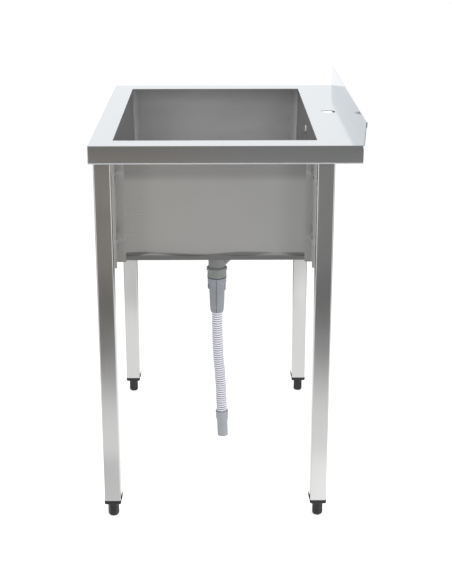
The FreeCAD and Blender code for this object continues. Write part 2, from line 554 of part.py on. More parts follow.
el = el.cut(cin).cut(sin_).cut(sock).fuse(boss.cut(sin_)).fuse(web)
el = one(el)
if len(el.Solids) > 1:
    el = sorted(el.Solids, key=lambda s: -s.Volume)[0]
put("overflow_elbow", el)

# rigid overflow pipe, bent once behind the bowl and once in front of the waste inlet
yv = YP - 1.5
zh = 575.0
yk = DY + (zh - INLET_Z)                # where the 45 degree leg reaches the level run
pp = [V(0, yv, 829.0), V(0, yv, zh), V(0, yk, zh), V(*along_inlet(MOUTH))]


def bent(points, rads):
    edges = []
    last = points[0]
    for i in range(1, len(points) - 1):
        a, b, c = points[i - 1], points[i], points[i + 1]
        u = (b - a).normalize()
        w = (c - b).normalize()
        turn = u.getAngle(w)
        r = rads[i - 1]
        t = r * math.tan(turn / 2)
        p1 = b - u * t
        p2 = b + w * t
        n = (w - u).normalize()
        centre = b + n * math.sqrt(r * r + t * t)
        mid = centre + (b - centre).normalize() * r
        edges.append(Part.LineSegment(last, p1).toShape())
        edges.append(Part.Arc(p1, mid, p2).toShape())
        last = p2
    edges.append(Part.LineSegment(last, points[-1]).toShape())
    return Part.Wire(edges)


pw = bent(pp, [34.0, 34.0])
po = pw.makePipeShell([Part.Wire([Part.Circle(pp[0], V(0, 0, -1), 11.0).toShape()])], True, True)
pi_ = pw.makePipeShell([Part.Wire([Part.Circle(pp[0], V(0, 0, -1), 9.2).toShape()])], True, True)
print("overflow pipe length", round(pw.Length, 1))
put("overflow_pipe", po.cut(pi_))
# sealing nuts on both joints of the pipe
nt = lathe([(11.1, 811.0 - 6.0), (14.2, 811.0 - 6.0), (15.8, 811.0 - 4.6), (15.8, 811.0 + 9.0), (13.7, 811.0 + 9.0),
            (13.7, 811.9), (11.1, 811.9)], 0, yv)
nb = place(lathe([(12.6, 0), (15.2, 0), (15.2, 13.0), (13.8, 14.6), (11.1, 14.6), (11.1, 9.3), (12.6, 9.3)]),
           along_inlet(MOUTH), (0, S2, S2))
put("overflow_pipe_nuts", Part.makeCompound([nt, nb]))

# ------------------------------------------------------------------ write
bb = None
for name, s in OUT.items():
    ok = s.isValid()
    n = len(s.Solids)
    s.exportStep("parts/" + name + ".step")
    b = s.BoundBox
    if bb is None:
        bb = FreeCAD.BoundBox(b)
    else:
        bb.add(b)
    if not ok or n != 1:
        print("NODE", name, "valid", ok, "solids", n)
print("nodes", len(OUT), "box", [round(v, 2) for v in (bb.XMin, bb.XMax, bb.YMin, bb.YMax, bb.ZMin, bb.ZMax)])
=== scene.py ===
import json
import math

import bmesh
import bpy
import numpy as np
from mathutils import Matrix, Vector


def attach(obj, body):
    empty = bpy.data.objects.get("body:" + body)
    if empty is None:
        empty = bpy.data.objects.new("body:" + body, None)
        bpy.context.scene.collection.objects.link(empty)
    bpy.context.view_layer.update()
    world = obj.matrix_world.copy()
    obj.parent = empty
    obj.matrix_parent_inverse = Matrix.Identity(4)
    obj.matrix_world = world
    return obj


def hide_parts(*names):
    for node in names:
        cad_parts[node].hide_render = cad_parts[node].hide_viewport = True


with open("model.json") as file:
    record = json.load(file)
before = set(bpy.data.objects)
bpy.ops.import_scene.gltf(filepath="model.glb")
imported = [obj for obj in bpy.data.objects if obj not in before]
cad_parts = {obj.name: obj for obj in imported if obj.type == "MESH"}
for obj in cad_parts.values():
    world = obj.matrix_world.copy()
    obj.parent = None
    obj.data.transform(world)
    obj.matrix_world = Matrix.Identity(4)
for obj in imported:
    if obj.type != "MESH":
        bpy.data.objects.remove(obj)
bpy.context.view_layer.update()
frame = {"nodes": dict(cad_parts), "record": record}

MM = 0.001
SC = bpy.context.scene
NODES = frame["nodes"]
REC = frame["record"]
SLOTS = {r["node"]: r["material_slot"] for r in REC["subparts"]}

# ------------------------------------------------------------------ camera
# solved on the photograph's edges; image taken as 452 x 584
PITCH, YAW, ROLL = 0.32791, -0.00679, -0.00093
cp, sp = math.cos(PITCH), math.sin(PITCH)
cy, sy = math.cos(YAW), math.sin(YAW)
cr, sr = math.cos(ROLL), math.sin(ROLL)


def row(a, b, c):
    return Vector((-b, a, c))


r0 = Vector((cy, sy, 0.0))
f0 = Vector((-sy, cy, 0.0))
fwd = f0 * cp - Vector((0, 0, 1)) * sp
up0 = f0 * sp + Vector((0, 0, 1)) * cp
rt = r0 * cr + up0 * sr
up = up0 * cr - r0 * sr
R, U, F = row(*rt), row(*up), row(*fwd)
cam_data = bpy.data.cameras.new("camera")
cam = bpy.data.objects.new("camera", cam_data)
SC.collection.objects.link(cam)
cam_data.sensor_fit = "AUTO"
cam_data.sensor_width = 36.0
cam_data.lens = 36.0 * 1226.6 / 584.0
cam_data.clip_end = 200.0
m = Matrix((R, U, -F)).transposed().to_4x4()
m.translation = Vector((2.98786, -0.01964, 1.45003))
cam.matrix_world = m
SC.camera = cam


# ------------------------------------------------------------------ mesh helpers (lengths in mm)
def new_mesh(name, verts, faces, sharp=32.0, merge=0.0):
    me = bpy.data.meshes.new(name)
    co = np.asarray(verts, float) * MM
    me.from_pydata(co.tolist(), [], faces)
    bm = bmesh.new()
    bm.from_mesh(me)
    if merge:
        bmesh.ops.remove_doubles(bm, verts=bm.verts, dist=merge * MM)
    bmesh.ops.recalc_face_normals(bm, faces=bm.faces)
    for f in bm.faces:
        f.smooth = True
    bm.to_mesh(me)
    bm.free()
    if sharp is not None:
        me.set_sharp_from_angle(angle=math.radians(sharp))
    ob = bpy.data.objects.new(name, me)
    SC.collection.objects.link(ob)
    return ob


def rounded(pts, n=5):
    """Closed (r, z) outline with its corners rounded: each point is (r, z) or (r, z, radius)."""
    out = []
    k = len(pts)
    for i in range(k):
        p = np.array(pts[i][:2], float)
        rad = pts[i][2] if len(pts[i]) > 2 else 0.0
        if rad <= 0:
            out.append(p)
            continue
        a = np.array(pts[i - 1][:2], float)
        b = np.array(pts[(i + 1) % k][:2], float)
        u, v = a - p, b - p
        lu, lv = np.linalg.norm(u), np.linalg.norm(v)
        u, v = u / lu, v / lv
        ang = math.acos(max(-1.0, min(1.0, float(u @ v))))
        if ang > math.pi - 0.05:
            out.append(p)
            continue
        t = min(rad / math.tan(ang / 2), 0.48 * lu, 0.48 * lv)
        r = t * math.tan(ang / 2)
        c = p + (u + v) / np.linalg.norm(u + v) * (r / math.sin(ang / 2))
        s, e = p + u * t - c, p + v * t - c
        for j in range(n + 1):
            w = j / n
            om = math.acos(max(-1.0, min(1.0, float(s @ e) / (np.linalg.norm(s) * np.linalg.norm(e)))))
            if om < 1e-6:
                q = s
            else:
                q = (math.sin((1 - w) * om) * s + math.sin(w * om) * e) / math.sin(om)
            out.append(c + q)
    return out


def frame_of(d):
    """Rotation that takes +Z to direction d."""
    return Vector((0, 0, 1)).rotation_difference(Vector(d).normalized()).to_matrix()


def lathe(name, pts, at=(0, 0, 0), d=(0, 0, 1), segs=72, sharp=32.0, n=5, shape=None):
    """Closed outline turned about an axis. shape(r, z, angle) -> r can modulate the radius."""
    prof = rounded(pts, n)
    verts, faces = [], []
    rot = frame_of(d)
    k = len(prof)
    for j in range(segs):
        a = 2 * math.pi * j / segs
        ca, sa = math.cos(a), math.sin(a)
        for r, z in prof:
            if shape is not None:
                r = shape(r, z, a)
            v = rot @ Vector((r * ca, r * sa, z))
            verts.append((v.x + at[0], v.y + at[1], v.z + at[2]))
    for j in range(segs):
        j2 = (j + 1) % segs
        for i in range(k):
            i2 = (i + 1) % k
            if prof[i][0] < 1e-6 and prof[i2][0] < 1e-6:
                continue
            faces.append((j * k + i, j2 * k + i, j2 * k + i2, j * k + i2))
    ob = new_mesh(name, verts, faces, sharp, merge=0.002)
    return ob


def loops_mesh(name, loops, close_ends=True, ring=False, sharp=32.0, merge=0.0):
    """Skin through loops of equal length. ring joins the last loop to the first."""
    k = len(loops[0])
    verts = [tuple(p) for lp in loops for p in lp]
    faces = []
    m_ = len(loops)
    for i in range(m_ if ring else m_ - 1):
        a, b = i * k, ((i + 1) % m_) * k
        for j in range(k):
            j2 = (j + 1) % k
            faces.append((a + j, a + j2, b + j2, b + j))
    if close_ends and not ring:
        faces.append(tuple(range(k - 1, -1, -1)))
        faces.append(tuple((m_ - 1) * k + j for j in range(k)))
    return new_mesh(name, verts, faces, sharp, merge)


def rr_loop(hx, hy, r, z, cx=0.0, cy_=0.0, nx=2, ny=2, nc=6):
    """Rounded rectangle as a loop of points, counter-clockwise from the middle of the +X side's start."""
    r = max(min(r, hx - 1e-4, hy - 1e-4), 1e-4)
    pts = []
    corners = ((hx - r, hy - r, 0.0), (-hx + r, hy - r, 90.0), (-hx + r, -hy + r, 180.0), (hx - r, -hy + r, 270.0))
    for ci, (x, y, a0) in enumerate(corners):
        for j in range(nc + 1):
            a = math.radians(a0 + 90.0 * j / nc)
            pts.append((x + r * math.cos(a), y + r * math.sin(a)))
        x2, y2, a2 = corners[(ci + 1) % 4]
        p = pts[-1]
        q = (x2 + r * math.cos(math.radians(a2)), y2 + r * math.sin(math.radians(a2)))
        cnt = nx if ci % 2 == 0 else ny
        for j in range(1, cnt):
            w = j / cnt
            pts.append((p[0] + (q[0] - p[0]) * w, p[1] + (q[1] - p[1]) * w))
    return [(cx + a, cy_ + b, z) for a, b in pts]


def join(name, obs, sharp=None):
    """Several meshes made here become one piece."""
    bm = bmesh.new()
    for o in obs:
        bm.from_mesh(o.data)
    me = bpy.data.meshes.new(name)
    bm.to_mesh(me)
    bm.free()
    for o in obs:
        bpy.data.objects.remove(o)
    if sharp is not None:
        me.set_sharp_from_angle(angle=math.radians(sharp))
    ob = bpy.data.objects.new(name, me)
    SC.collection.objects.link(ob)
    return ob


def bevel(ob, width_mm, segs=2, angle=35.0):
    b = ob.modifiers.new("edge", "BEVEL")
    b.width = width_mm * MM
    b.segments = segs
    b.limit_method = "ANGLE"
    b.angle_limit = math.radians(angle)
    b.harden_normals = True
    return ob


def piece(ob, body, mat, node=None):
    ob.data.materials.clear()
    ob.data.materials.append(mat)
    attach(ob, body)
    if node:
        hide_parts(*([node] if isinstance(node, str) else node))
    return ob


# ------------------------------------------------------------------ materials
def nt(mat):
    mat.use_nodes = True
    t = mat.node_tree
    t.nodes.clear()
    out = t.nodes.new("ShaderNodeOutputMaterial")
    bs = t.nodes.new("ShaderNodeBsdfPrincipled")
    t.links.new(bs.outputs["BSDF"], out.inputs["Surface"])
    return t, bs


def mapped(t, scale, rot=(0, 0, 0)):
    tc = t.nodes.new("ShaderNodeTexCoord")
    mp = t.nodes.new("ShaderNodeMapping")
    mp.inputs["Scale"].default_value = scale
    mp.inputs["Rotation"].default_value = rot
    t.links.new(tc.outputs["Object"], mp.inputs["Vector"])
    return mp.outputs["Vector"]


def noise(t, vec, scale=1.0, detail=2.0, rough=0.5):
    n_ = t.nodes.new("ShaderNodeTexNoise")
    n_.inputs["Scale"].default_value = scale
    n_.inputs["Detail"].default_value = detail
    n_.inputs["Roughness"].default_value = rough
    t.links.new(vec, n_.inputs["Vector"])
    return n_.outputs["Fac"]


def remap(t, fac, a, b, lo, hi):
    r_ = t.nodes.new("ShaderNodeMapRange")
    r_.inputs["From Min"].default_value = a
    r_.inputs["From Max"].default_value = b
    r_.inputs["To Min"].default_value = lo
    r_.inputs["To Max"].default_value = hi
    t.links.new(fac, r_.inputs["Value"])
    return r_.outputs["Result"]


def math_(t, op, a, b=None):
    n_ = t.nodes.new("ShaderNodeMath")
    n_.operation = op
    for i, v in enumerate((a, b)):
        if v is None:
            continue
        if isinstance(v, (int, float)):
            n_.inputs[i].default_value = v
        else:
            t.links.new(v, n_.inputs[i])
    return n_.outputs[0]


def tint(t, fac, c0, c1, p0=0.0, p1=1.0):
    r_ = t.nodes.new("ShaderNodeValToRGB")
    r_.color_ramp.elements[0].color = (*c0, 1)
    r_.color_ramp.elements[1].color = (*c1, 1)
    r_.color_ramp.elements[0].position = p0
    r_.color_ramp.elements[1].position = p1
    t.links.new(fac, r_.inputs["Fac"])
    return r_.outputs["Color"]


def bump(t, height, dist_mm, strength=1.0, normal=None):
    b_ = t.nodes.new("ShaderNodeBump")
    b_.inputs["Distance"].default_value = dist_mm * MM
    b_.inputs["Strength"].default_value = strength
    t.links.new(height, b_.inputs["Height"])
    if normal is not None:
        t.links.new(normal, b_.inputs["Normal"])
    return b_.outputs["Normal"]


def steel(name, base, rough, grain=(2.0, 400.0, 400.0), grain_mm=0.004, wave_mm=0.0, wave=(4.0, 4.0, 4.0),
          vary=0.05, rough_vary=0.04, aniso=0.0, smudge=3.0):
    """Sheet steel: stretched grain, slow waves in the sheet, and faint smudges in the polish."""
    mat = bpy.data.materials.new(name)
    t, bs = nt(mat)
    g = noise(t, mapped(t, grain), 1.0, 3.0, 0.6)
    s = noise(t, mapped(t, (smudge, smudge, smudge)), 1.0, 3.0, 0.55)
    lo = tuple(c * (1 - vary) for c in base)
    hi = tuple(min(1.0, c * (1 + vary)) for c in base)
    mixf = math_(t, "ADD", math_(t, "MULTIPLY", g, 0.6), math_(t, "MULTIPLY", s, 0.4))
    t.links.new(tint(t, mixf, lo, hi, 0.3, 0.7), bs.inputs["Base Color"])
    rr = math_(t, "ADD", remap(t, g, 0.3, 0.7, rough - rough_vary * 0.6, rough + rough_vary * 0.6),
               remap(t, s, 0.35, 0.65, -rough_vary * 0.5, rough_vary * 0.5))
    t.links.new(rr, bs.inputs["Roughness"])
    bs.inputs["Metallic"].default_value = 1.0
    nrm = bump(t, g, grain_mm)
    if wave_mm:
        w = noise(t, mapped(t, wave), 1.0, 1.0, 0.4)
        nrm = bump(t, w, wave_mm, 1.0, nrm)
    t.links.new(nrm, bs.inputs["Normal"])
    if aniso:
        bs.inputs["Anisotropic"].default_value = aniso
    return mat


def plastic(name, base, rough, vary=0.06, grain=900.0, grain_mm=0.01, mottle=60.0, spec=0.5, sss=0.0, trans=0.0,
            rough_vary=0.05):
    """Moulded plastic: fine texture of the mould, and slight clouding."""
    mat = bpy.data.materials.new(name)
    t, bs = nt(mat)
    g = noise(t, mapped(t, (grain, grain, grain)), 1.0, 2.0, 0.6)
    s = noise(t, mapped(t, (mottle, mottle, mottle)), 1.0, 3.0, 0.55)
    lo = tuple(c * (1 - vary) for c in base)
    hi = tuple(min(1.0, c * (1 + vary)) for c in base)
    t.links.new(tint(t, s, lo, hi, 0.3, 0.7), bs.inputs["Base Color"])
    t.links.new(remap(t, s, 0.3, 0.7, rough - rough_vary, rough + rough_vary), bs.inputs["Roughness"])
    t.links.new(bump(t, g, grain_mm), bs.inputs["Normal"])
    bs.inputs["Specular IOR Level"].default_value = spec
    if sss:
        bs.inputs["Subsurface Weight"].default_value = sss
        bs.inputs["Subsurface Radius"].default_value = (0.006, 0.006, 0.0065)
        bs.inputs["Subsurface Scale"].default_value = 1.0
    if trans:
        bs.inputs["Transmission Weight"].default_value = trans
        bs.inputs["IOR"].default_value = 1.25
    return mat


M = {}
M["polished_steel_sheet"] = steel("steel_worktop", (0.662, 0.667, 0.672), 0.12, grain=(3.0, 900.0, 900.0), grain_mm=0.0006,
                                  wave_mm=0.15, wave=(4.0, 4.0, 4.0), vary=0.022, rough_vary=0.03)


def paint_hem_highlight_and_fold_shade(mat):
    t = mat.node_tree
    bs = t.nodes["Principled BSDF"]
    tc_ = t.nodes.new("ShaderNodeTexCoord")
    sp_ = t.nodes.new("ShaderNodeSeparateXYZ")
    t.links.new(tc_.outputs["Object"], sp_.inputs[0])
    # painted highlight: the hem along the foot of the apron is painted lighter; it is also made much rougher
    hem_highlight = math_(t, "SUBTRACT", 1.0, ramp01(t, sp_.outputs["Z"], 0.8624, 0.8631))
    # painted shade: a thin strip along the fold at the back of the top is painted darker
    low = math_(t, "SUBTRACT", 1.0, ramp01(t, sp_.outputs["Z"], 0.9016, 0.9024))
    fold_shade = math_(t, "MULTIPLY", low, ramp01(t, sp_.outputs["Y"], FOLD_Y - 0.0013, FOLD_Y - 0.0009))
    fold_shade = math_(t, "MULTIPLY", fold_shade, ramp01(t, sp_.outputs["Z"], 0.8990, 0.8996))
    colour = bs.inputs["Base Color"].links[0].from_socket
    sc = t.nodes.new("ShaderNodeVectorMath")
    sc.operation = "SCALE"
    t.links.new(colour, sc.inputs[0])
    k_ = math_(t, "ADD", 1.0, math_(t, "SUBTRACT", math_(t, "MULTIPLY", hem_highlight, 0.49), math_(t, "MULTIPLY", fold_shade, 0.12)))
    t.links.new(k_, sc.inputs["Scale"])
    t.links.new(sc.outputs["Vector"], bs.inputs["Base Color"])
    rough = bs.inputs["Roughness"].links[0].from_socket
    t.links.new(math_(t, "ADD", rough, math_(t, "MULTIPLY", hem_highlight, 0.80)), bs.inputs["Roughness"])


# at a low angle the polished sheet goes a little cooler and dimmer
M["polished_steel_sheet"].node_tree.nodes["Principled BSDF"].inputs["Specular Tint"].default_value = (0.90, 0.925, 0.945, 1)


def bowl_steel(name):
    """Satin sheet, with a polished band each side of the welded upright corners and a pale bead in the corner itself;
    painted shade, highlights and reflections on the walls are mixed into its colour.
    """
    mat = bpy.data.materials.new(name)
    t, bs = nt(mat)
    tc_ = t.nodes.new("ShaderNodeTexCoord")
    sp_ = t.nodes.new("ShaderNodeSeparateXYZ")
    t.links.new(tc_.outputs["Object"], sp_.inputs[0])
    ax = math_(t, "ABSOLUTE", sp_.outputs["X"])
    ay = math_(t, "ABSOLUTE", math_(t, "ADD", sp_.outputs["Y"], 0.0255))
    # a slight wander of the band's edge
    wob = remap(t, noise(t, mapped(t, (9.0, 9.0, 9.0)), 1.0, 2.0, 0.5), 0.3, 0.7, -0.0012, 0.0012)
    band = math_(t, "MULTIPLY", ramp01(t, math_(t, "ADD", ax, wob), 0.3225, 0.3250),
                 ramp01(t, math_(t, "ADD", ay, wob), 0.2055, 0.2080))
    bead = math_(t, "MULTIPLY", ramp01(t, ax, 0.3380, 0.3388), ramp01(t, ay, 0.2210, 0.2218))
    g = noise(t, mapped(t, (6.0, 6.0, 1400.0)), 1.0, 2.0, 0.5)
    gv = noise(t, mapped(t, (1600.0, 1600.0, 8.0)), 1.0, 2.0, 0.5)
    s_ = noise(t, mapped(t, (4.0, 4.0, 4.0)), 1.0, 2.0, 0.5)
    c0 = tint(t, s_, (0.902, 0.904, 0.902), (0.945, 0.947, 0.945), 0.3, 0.7)
    c1 = tint(t, gv, (0.975, 0.975, 0.97), (0.995, 0.995, 0.99), 0.3, 0.7)
    mx1 = t.nodes.new("ShaderNodeMix")
    mx1.data_type = "RGBA"
    t.links.new(band, mx1.inputs[0])
    t.links.new(c0, mx1.inputs[6])
    t.links.new(c1, mx1.inputs[7])
    mx2 = t.nodes.new("ShaderNodeMix")
    mx2.data_type = "RGBA"
    t.links.new(bead, mx2.inputs[0])
    t.links.new(mx1.outputs[2], mx2.inputs[6])
    t.links.new(tint(t, gv, (0.88, 0.88, 0.87), (0.93, 0.93, 0.92), 0.3, 0.7), mx2.inputs[7])
    # outer face of the right-hand wall: painted shade near the rim under the apron and towards the brackets, a wavy
    # band of painted shade along the foot with a thin painted highlight in it, and a slight darkening all over
    Z_ = sp_.outputs["Z"]
    outer = ramp01(t, sp_.outputs["X"], 0.3405, 0.3411)
    wz = math_(t, "ADD", Z_, remap(t, noise(t, mapped(t, (0.0, 7.0, 0.0), (0.0, 0.4, 0.0)), 1.0, 1.0, 0.4), 0.3, 0.7, -0.0035, 0.0035))
    top = math_(t, "MULTIPLY", ramp01(t, math_(t, "ADD", Z_, wob), 0.803, 0.828), 0.23)
    edge = math_(t, "MULTIPLY", ramp01(t, ay, 0.125, 0.178), 0.10)
    fold_shade = math_(t, "SUBTRACT", 1.0, ramp01(t, wz, 0.6415, 0.6455))
    fold_highlight = math_(t, "MULTIPLY", ramp01(t, wz, 0.6290, 0.6320), math_(t, "SUBTRACT", 1.0, ramp01(t, wz, 0.6325, 0.6365)))
    fold_shade = math_(t, "MULTIPLY", fold_shade, math_(t, "SUBTRACT", 0.46, math_(t, "MULTIPLY", fold_highlight, 0.14)))
    outer_painted_shade = math_(t, "SUBTRACT", 1.0, math_(t, "MULTIPLY", outer, math_(t, "ADD", math_(t, "ADD", math_(t, "ADD", top, edge), fold_shade), 0.035)))
    # inner faces: painted shade on the far wall near the rim and low down, and painted shade darkening the long walls
    # against the end walls
    inner = ramp01(t, math_(t, "MULTIPLY", sp_.outputs["X"], -1.0), 0.3385, 0.3395)
    shy = math_(t, "SUBTRACT", Z_, math_(t, "MULTIPLY", sp_.outputs["Y"], -0.02))
    far_rim_shade = math_(t, "MULTIPLY", ramp01(t, shy, 0.852, 0.902), 0.33)
    far_deep_shade = math_(t, "MULTIPLY", math_(t, "SUBTRACT", 1.0, ramp01(t, shy, 0.745, 0.812)), 0.17)
    inner_painted_light = math_(t, "SUBTRACT", 1.0, math_(t, "MULTIPLY", inner, math_(t, "ADD", far_rim_shade, far_deep_shade)))
    long_wall_shade = math_(t, "MULTIPLY", ramp01(t, ay, 0.2215, 0.2225), math_(t, "SUBTRACT", 1.0, ramp01(t, ax, 0.325, 0.332)))
    inner_painted_light = math_(t, "MULTIPLY", inner_painted_light, math_(t, "SUBTRACT", 1.0, math_(t, "MULTIPLY", long_wall_shade, 0.46)))
    # painted reflection: soft slanting light and dark waves painted on the far wall
    cb = t.nodes.new("ShaderNodeCombineXYZ")
    t.links.new(math_(t, "MULTIPLY", sp_.outputs["Y"], 3.2), cb.inputs["Y"])
    slant = math_(t, "SUBTRACT", Z_, math_(t, "MULTIPLY", sp_.outputs["Y"], 0.16))
    t.links.new(math_(t, "MULTIPLY", slant, 21.0), cb.inputs["Z"])
    wave_reflection = noise(t, cb.outputs[0], 1.0, 1.0, 0.3)
    waves = math_(t, "MULTIPLY", inner, remap(t, wave_reflection, 0.50, 0.68, 0.0, 0.055))
    inner_painted_light = math_(t, "ADD", inner_painted_light, math_(t, "SUBTRACT", waves, math_(t, "MULTIPLY", inner, 0.012)))
    kk = t.nodes.new("ShaderNodeVectorMath")
    kk.operation = "SCALE"
    t.links.new(mx2.outputs[2], kk.inputs[0])
    t.links.new(math_(t, "MULTIPLY", outer_painted_shade, inner_painted_light), kk.inputs["Scale"])
    t.links.new(kk.outputs["Vector"], bs.inputs["Base Color"])
    r0_ = math_(t, "ADD", remap(t, g, 0.3, 0.7, 0.285, 0.30), remap(t, s_, 0.3, 0.7, -0.02, 0.02))
    r1_ = math_(t, "MULTIPLY", band, remap(t, gv, 0.3, 0.7, -0.05, -0.03))
    r2_ = math_(t, "MULTIPLY", bead, 0.22)
    t.links.new(math_(t, "ADD", math_(t, "ADD", r0_, r1_), r2_), bs.inputs["Roughness"])
    bs.inputs["Metallic"].default_value = 1.0
    nrm = bump(t, g, 0.0002)
    w = noise(t, mapped(t, (5.0, 5.0, 4.0), (0.5, 0.3, 0.0)), 1.0, 1.0, 0.3)
    t.links.new(bump(t, w, 0.55, 1.0, nrm), bs.inputs["Normal"])
    return mat


def ramp01(t, v, a, b):
    r_ = t.nodes.new("ShaderNodeMapRange")
    r_.interpolation_type = "SMOOTHSTEP"
    r_.inputs["From Min"].default_value = a
    r_.inputs["From Max"].default_value = b
    t.links.new(v, r_.inputs["Value"])
    return r_.outputs["Result"]


FOLD_Y = 0.2948
paint_hem_highlight_and_fold_shade(M["polished_steel_sheet"])
M["satin_steel_bowl"] = bowl_steel("steel_bowl")
M["brushed_steel_tube"] = steel("steel_legs", (0.62, 0.615, 0.61), 0.17, grain=(1500.0, 1500.0, 4.0), grain_mm=0.0010,
                                wave_mm=0.05, wave=(12.0, 12.0, 2.0), vary=0.05, rough_vary=0.04, smudge=9.0)
M["brushed_steel_bracket"] = steel("steel_brackets", (0.79, 0.79, 0.785), 0.30, grain=(1500.0, 1500.0, 6.0),
                                   grain_mm=0.001, wave_mm=0.08, wave=(12.0, 12.0, 4.0), vary=0.03, rough_vary=0.05)


def pale_bracket_spots(mat, heights, half):
    """Paler, rougher spots on the bracket at the given heights."""
    t = mat.node_tree
    bs = t.nodes["Principled BSDF"]
    tc_ = t.nodes.new("ShaderNodeTexCoord")
    sp_ = t.nodes.new("ShaderNodeSeparateXYZ")
    t.links.new(tc_.outputs["Object"], sp_.inputs[0])
    wob = remap(t, noise(t, mapped(t, (120.0, 120.0, 120.0)), 1.0, 2.0, 0.5), 0.3, 0.7, -0.003, 0.003)
    zz = math_(t, "ADD", sp_.outputs["Z"], wob)
    tot = None
    for h_ in heights:
        d_ = math_(t, "ABSOLUTE", math_(t, "SUBTRACT", zz, h_))
        m_ = math_(t, "SUBTRACT", 1.0, ramp01(t, d_, half * 0.3, half))
        tot = m_ if tot is None else math_(t, "ADD", tot, m_)
    sc = t.nodes.new("ShaderNodeVectorMath")
    sc.operation = "SCALE"
    t.links.new(bs.inputs["Base Color"].links[0].from_socket, sc.inputs[0])
    # each one breaks up at its edges
    brk = remap(t, noise(t, mapped(t, (170.0, 170.0, 170.0), (0.3, 0.1, 0.7)), 1.0, 2.0, 0.6), 0.42, 0.60, 0.0, 1.0)
    tot = math_(t, "MULTIPLY", tot, brk)
    t.links.new(math_(t, "ADD", 1.0, math_(t, "MULTIPLY", tot, 0.16)), sc.inputs["Scale"])
    t.links.new(sc.outputs["Vector"], bs.inputs["Base Color"])
    r_ = bs.inputs["Roughness"].links[0].from_socket
    t.links.new(math_(t, "ADD", r_, math_(t, "MULTIPLY", tot, 0.07)), bs.inputs["Roughness"])


pale_bracket_spots(M["brushed_steel_bracket"], (0.826, 0.680), 0.009)
M["bright_fasteners"] = steel("steel_fasteners", (0.60, 0.60, 0.59), 0.22, grain=(500.0, 500.0, 500.0), grain_mm=0.003,
                              vary=0.06, rough_vary=0.08, smudge=60.0)
M["zinc_inserts"] = steel("zinc", (0.60, 0.60, 0.57), 0.34, grain=(700.0, 700.0, 700.0), grain_mm=0.006, vary=0.10,
                          rough_vary=0.10, smudge=90.0)
M["strainer_steel"] = steel("steel_strainer", (0.68, 0.68, 0.68), 0.16, grain=(300.0, 300.0, 300.0), grain_mm=0.002,
                            vary=0.04, rough_vary=0.05, smudge=40.0)
M["black_nylon"] = plastic("nylon_black", (0.013, 0.0135, 0.0145), 0.45, grain_mm=0.010, spec=0.35)
M["black_rubber"] = plastic("rubber_black", (0.014, 0.014, 0.014), 0.75, grain_mm=0.02, spec=0.3)
M["dark_rubber_seal"] = plastic("rubber_seal", (0.02, 0.021, 0.022), 0.65, grain_mm=0.02, spec=0.3)
M["dark_knob"] = plastic("knob_dark", (0.03, 0.031, 0.034), 0.35, grain_mm=0.008)
M["grey_plastic"] = plastic("plastic_blue_grey", (0.185, 0.197, 0.215), 0.42, vary=0.05, grain_mm=0.01, sss=0.1)
M["green_grey_plastic"] = plastic("plastic_green_grey", (0.155, 0.168, 0.157), 0.42, vary=0.06, grain_mm=0.01, sss=0.1)
M["cuff_plastic"] = plastic("plastic_cuff", (0.262, 0.278, 0.298), 0.5, vary=0.05, grain_mm=0.012, sss=0.15)
M["translucent_hose"] = plastic("plastic_hose", (0.455, 0.455, 0.50), 0.26, vary=0.03, grain_mm=0.003, sss=0.2)



def hose_crests_and_groove_shade(mat, crest, groove):
    """Milky crests, and painted shade darkening the grooves."""
    t = mat.node_tree
    bs = t.nodes["Principled BSDF"]
    a_ = t.nodes.new("ShaderNodeAttribute")
    a_.attribute_name = "groove"
    s_ = noise(t, mapped(t, (60.0, 60.0, 60.0)), 1.0, 2.0, 0.5)
    f_ = math_(t, "ADD", ramp01(t, a_.outputs["Fac"], 0.18, 0.62), remap(t, s_, 0.3, 0.7, -0.06, 0.06))
    t.links.new(tint(t, f_, crest, groove, 0.0, 1.0), bs.inputs["Base Color"])


hose_crests_and_groove_shade(M["translucent_hose"], (0.64, 0.64, 0.685), (0.24, 0.24, 0.295))
ADAPTER = plastic("plastic_adapter", (0.190, 0.203, 0.222), 0.42, vary=0.05, grain_mm=0.01, sss=0.1)


def seam_line(mat, y, half):
    """Dull line along the mould's parting edge."""
    t = mat.node_tree
    bs = t.nodes["Principled BSDF"]
    tc_ = t.nodes.new("ShaderNodeTexCoord")
    sp_ = t.nodes.new("ShaderNodeSeparateXYZ")
    t.links.new(tc_.outputs["Object"], sp_.inputs[0])
    d_ = math_(t, "ABSOLUTE", math_(t, "ADD", sp_.outputs["Y"], -y))
    on = math_(t, "MULTIPLY", math_(t, "SUBTRACT", 1.0, ramp01(t, d_, half * 0.6, half)), ramp01(t, sp_.outputs["X"], 0.005, 0.008))
    on = math_(t, "MULTIPLY", on, math_(t, "SUBTRACT", 1.0, ramp01(t, sp_.outputs["Z"], 0.470, 0.472)))
    sc = t.nodes.new("ShaderNodeVectorMath")
    sc.operation = "SCALE"
    t.links.new(bs.inputs["Base Color"].links[0].from_socket, sc.inputs[0])
    t.links.new(math_(t, "SUBTRACT", 1.0, math_(t, "MULTIPLY", on, 0.45)), sc.inputs["Scale"])
    t.links.new(sc.outputs["Vector"], bs.inputs["Base Color"])


seam_line(ADAPTER, -0.0240, 0.0016)
WASTE = plastic("plastic_waste", (0.150, 0.153, 0.153), 0.42, vary=0.05, grain_mm=0.01, sss=0.1)

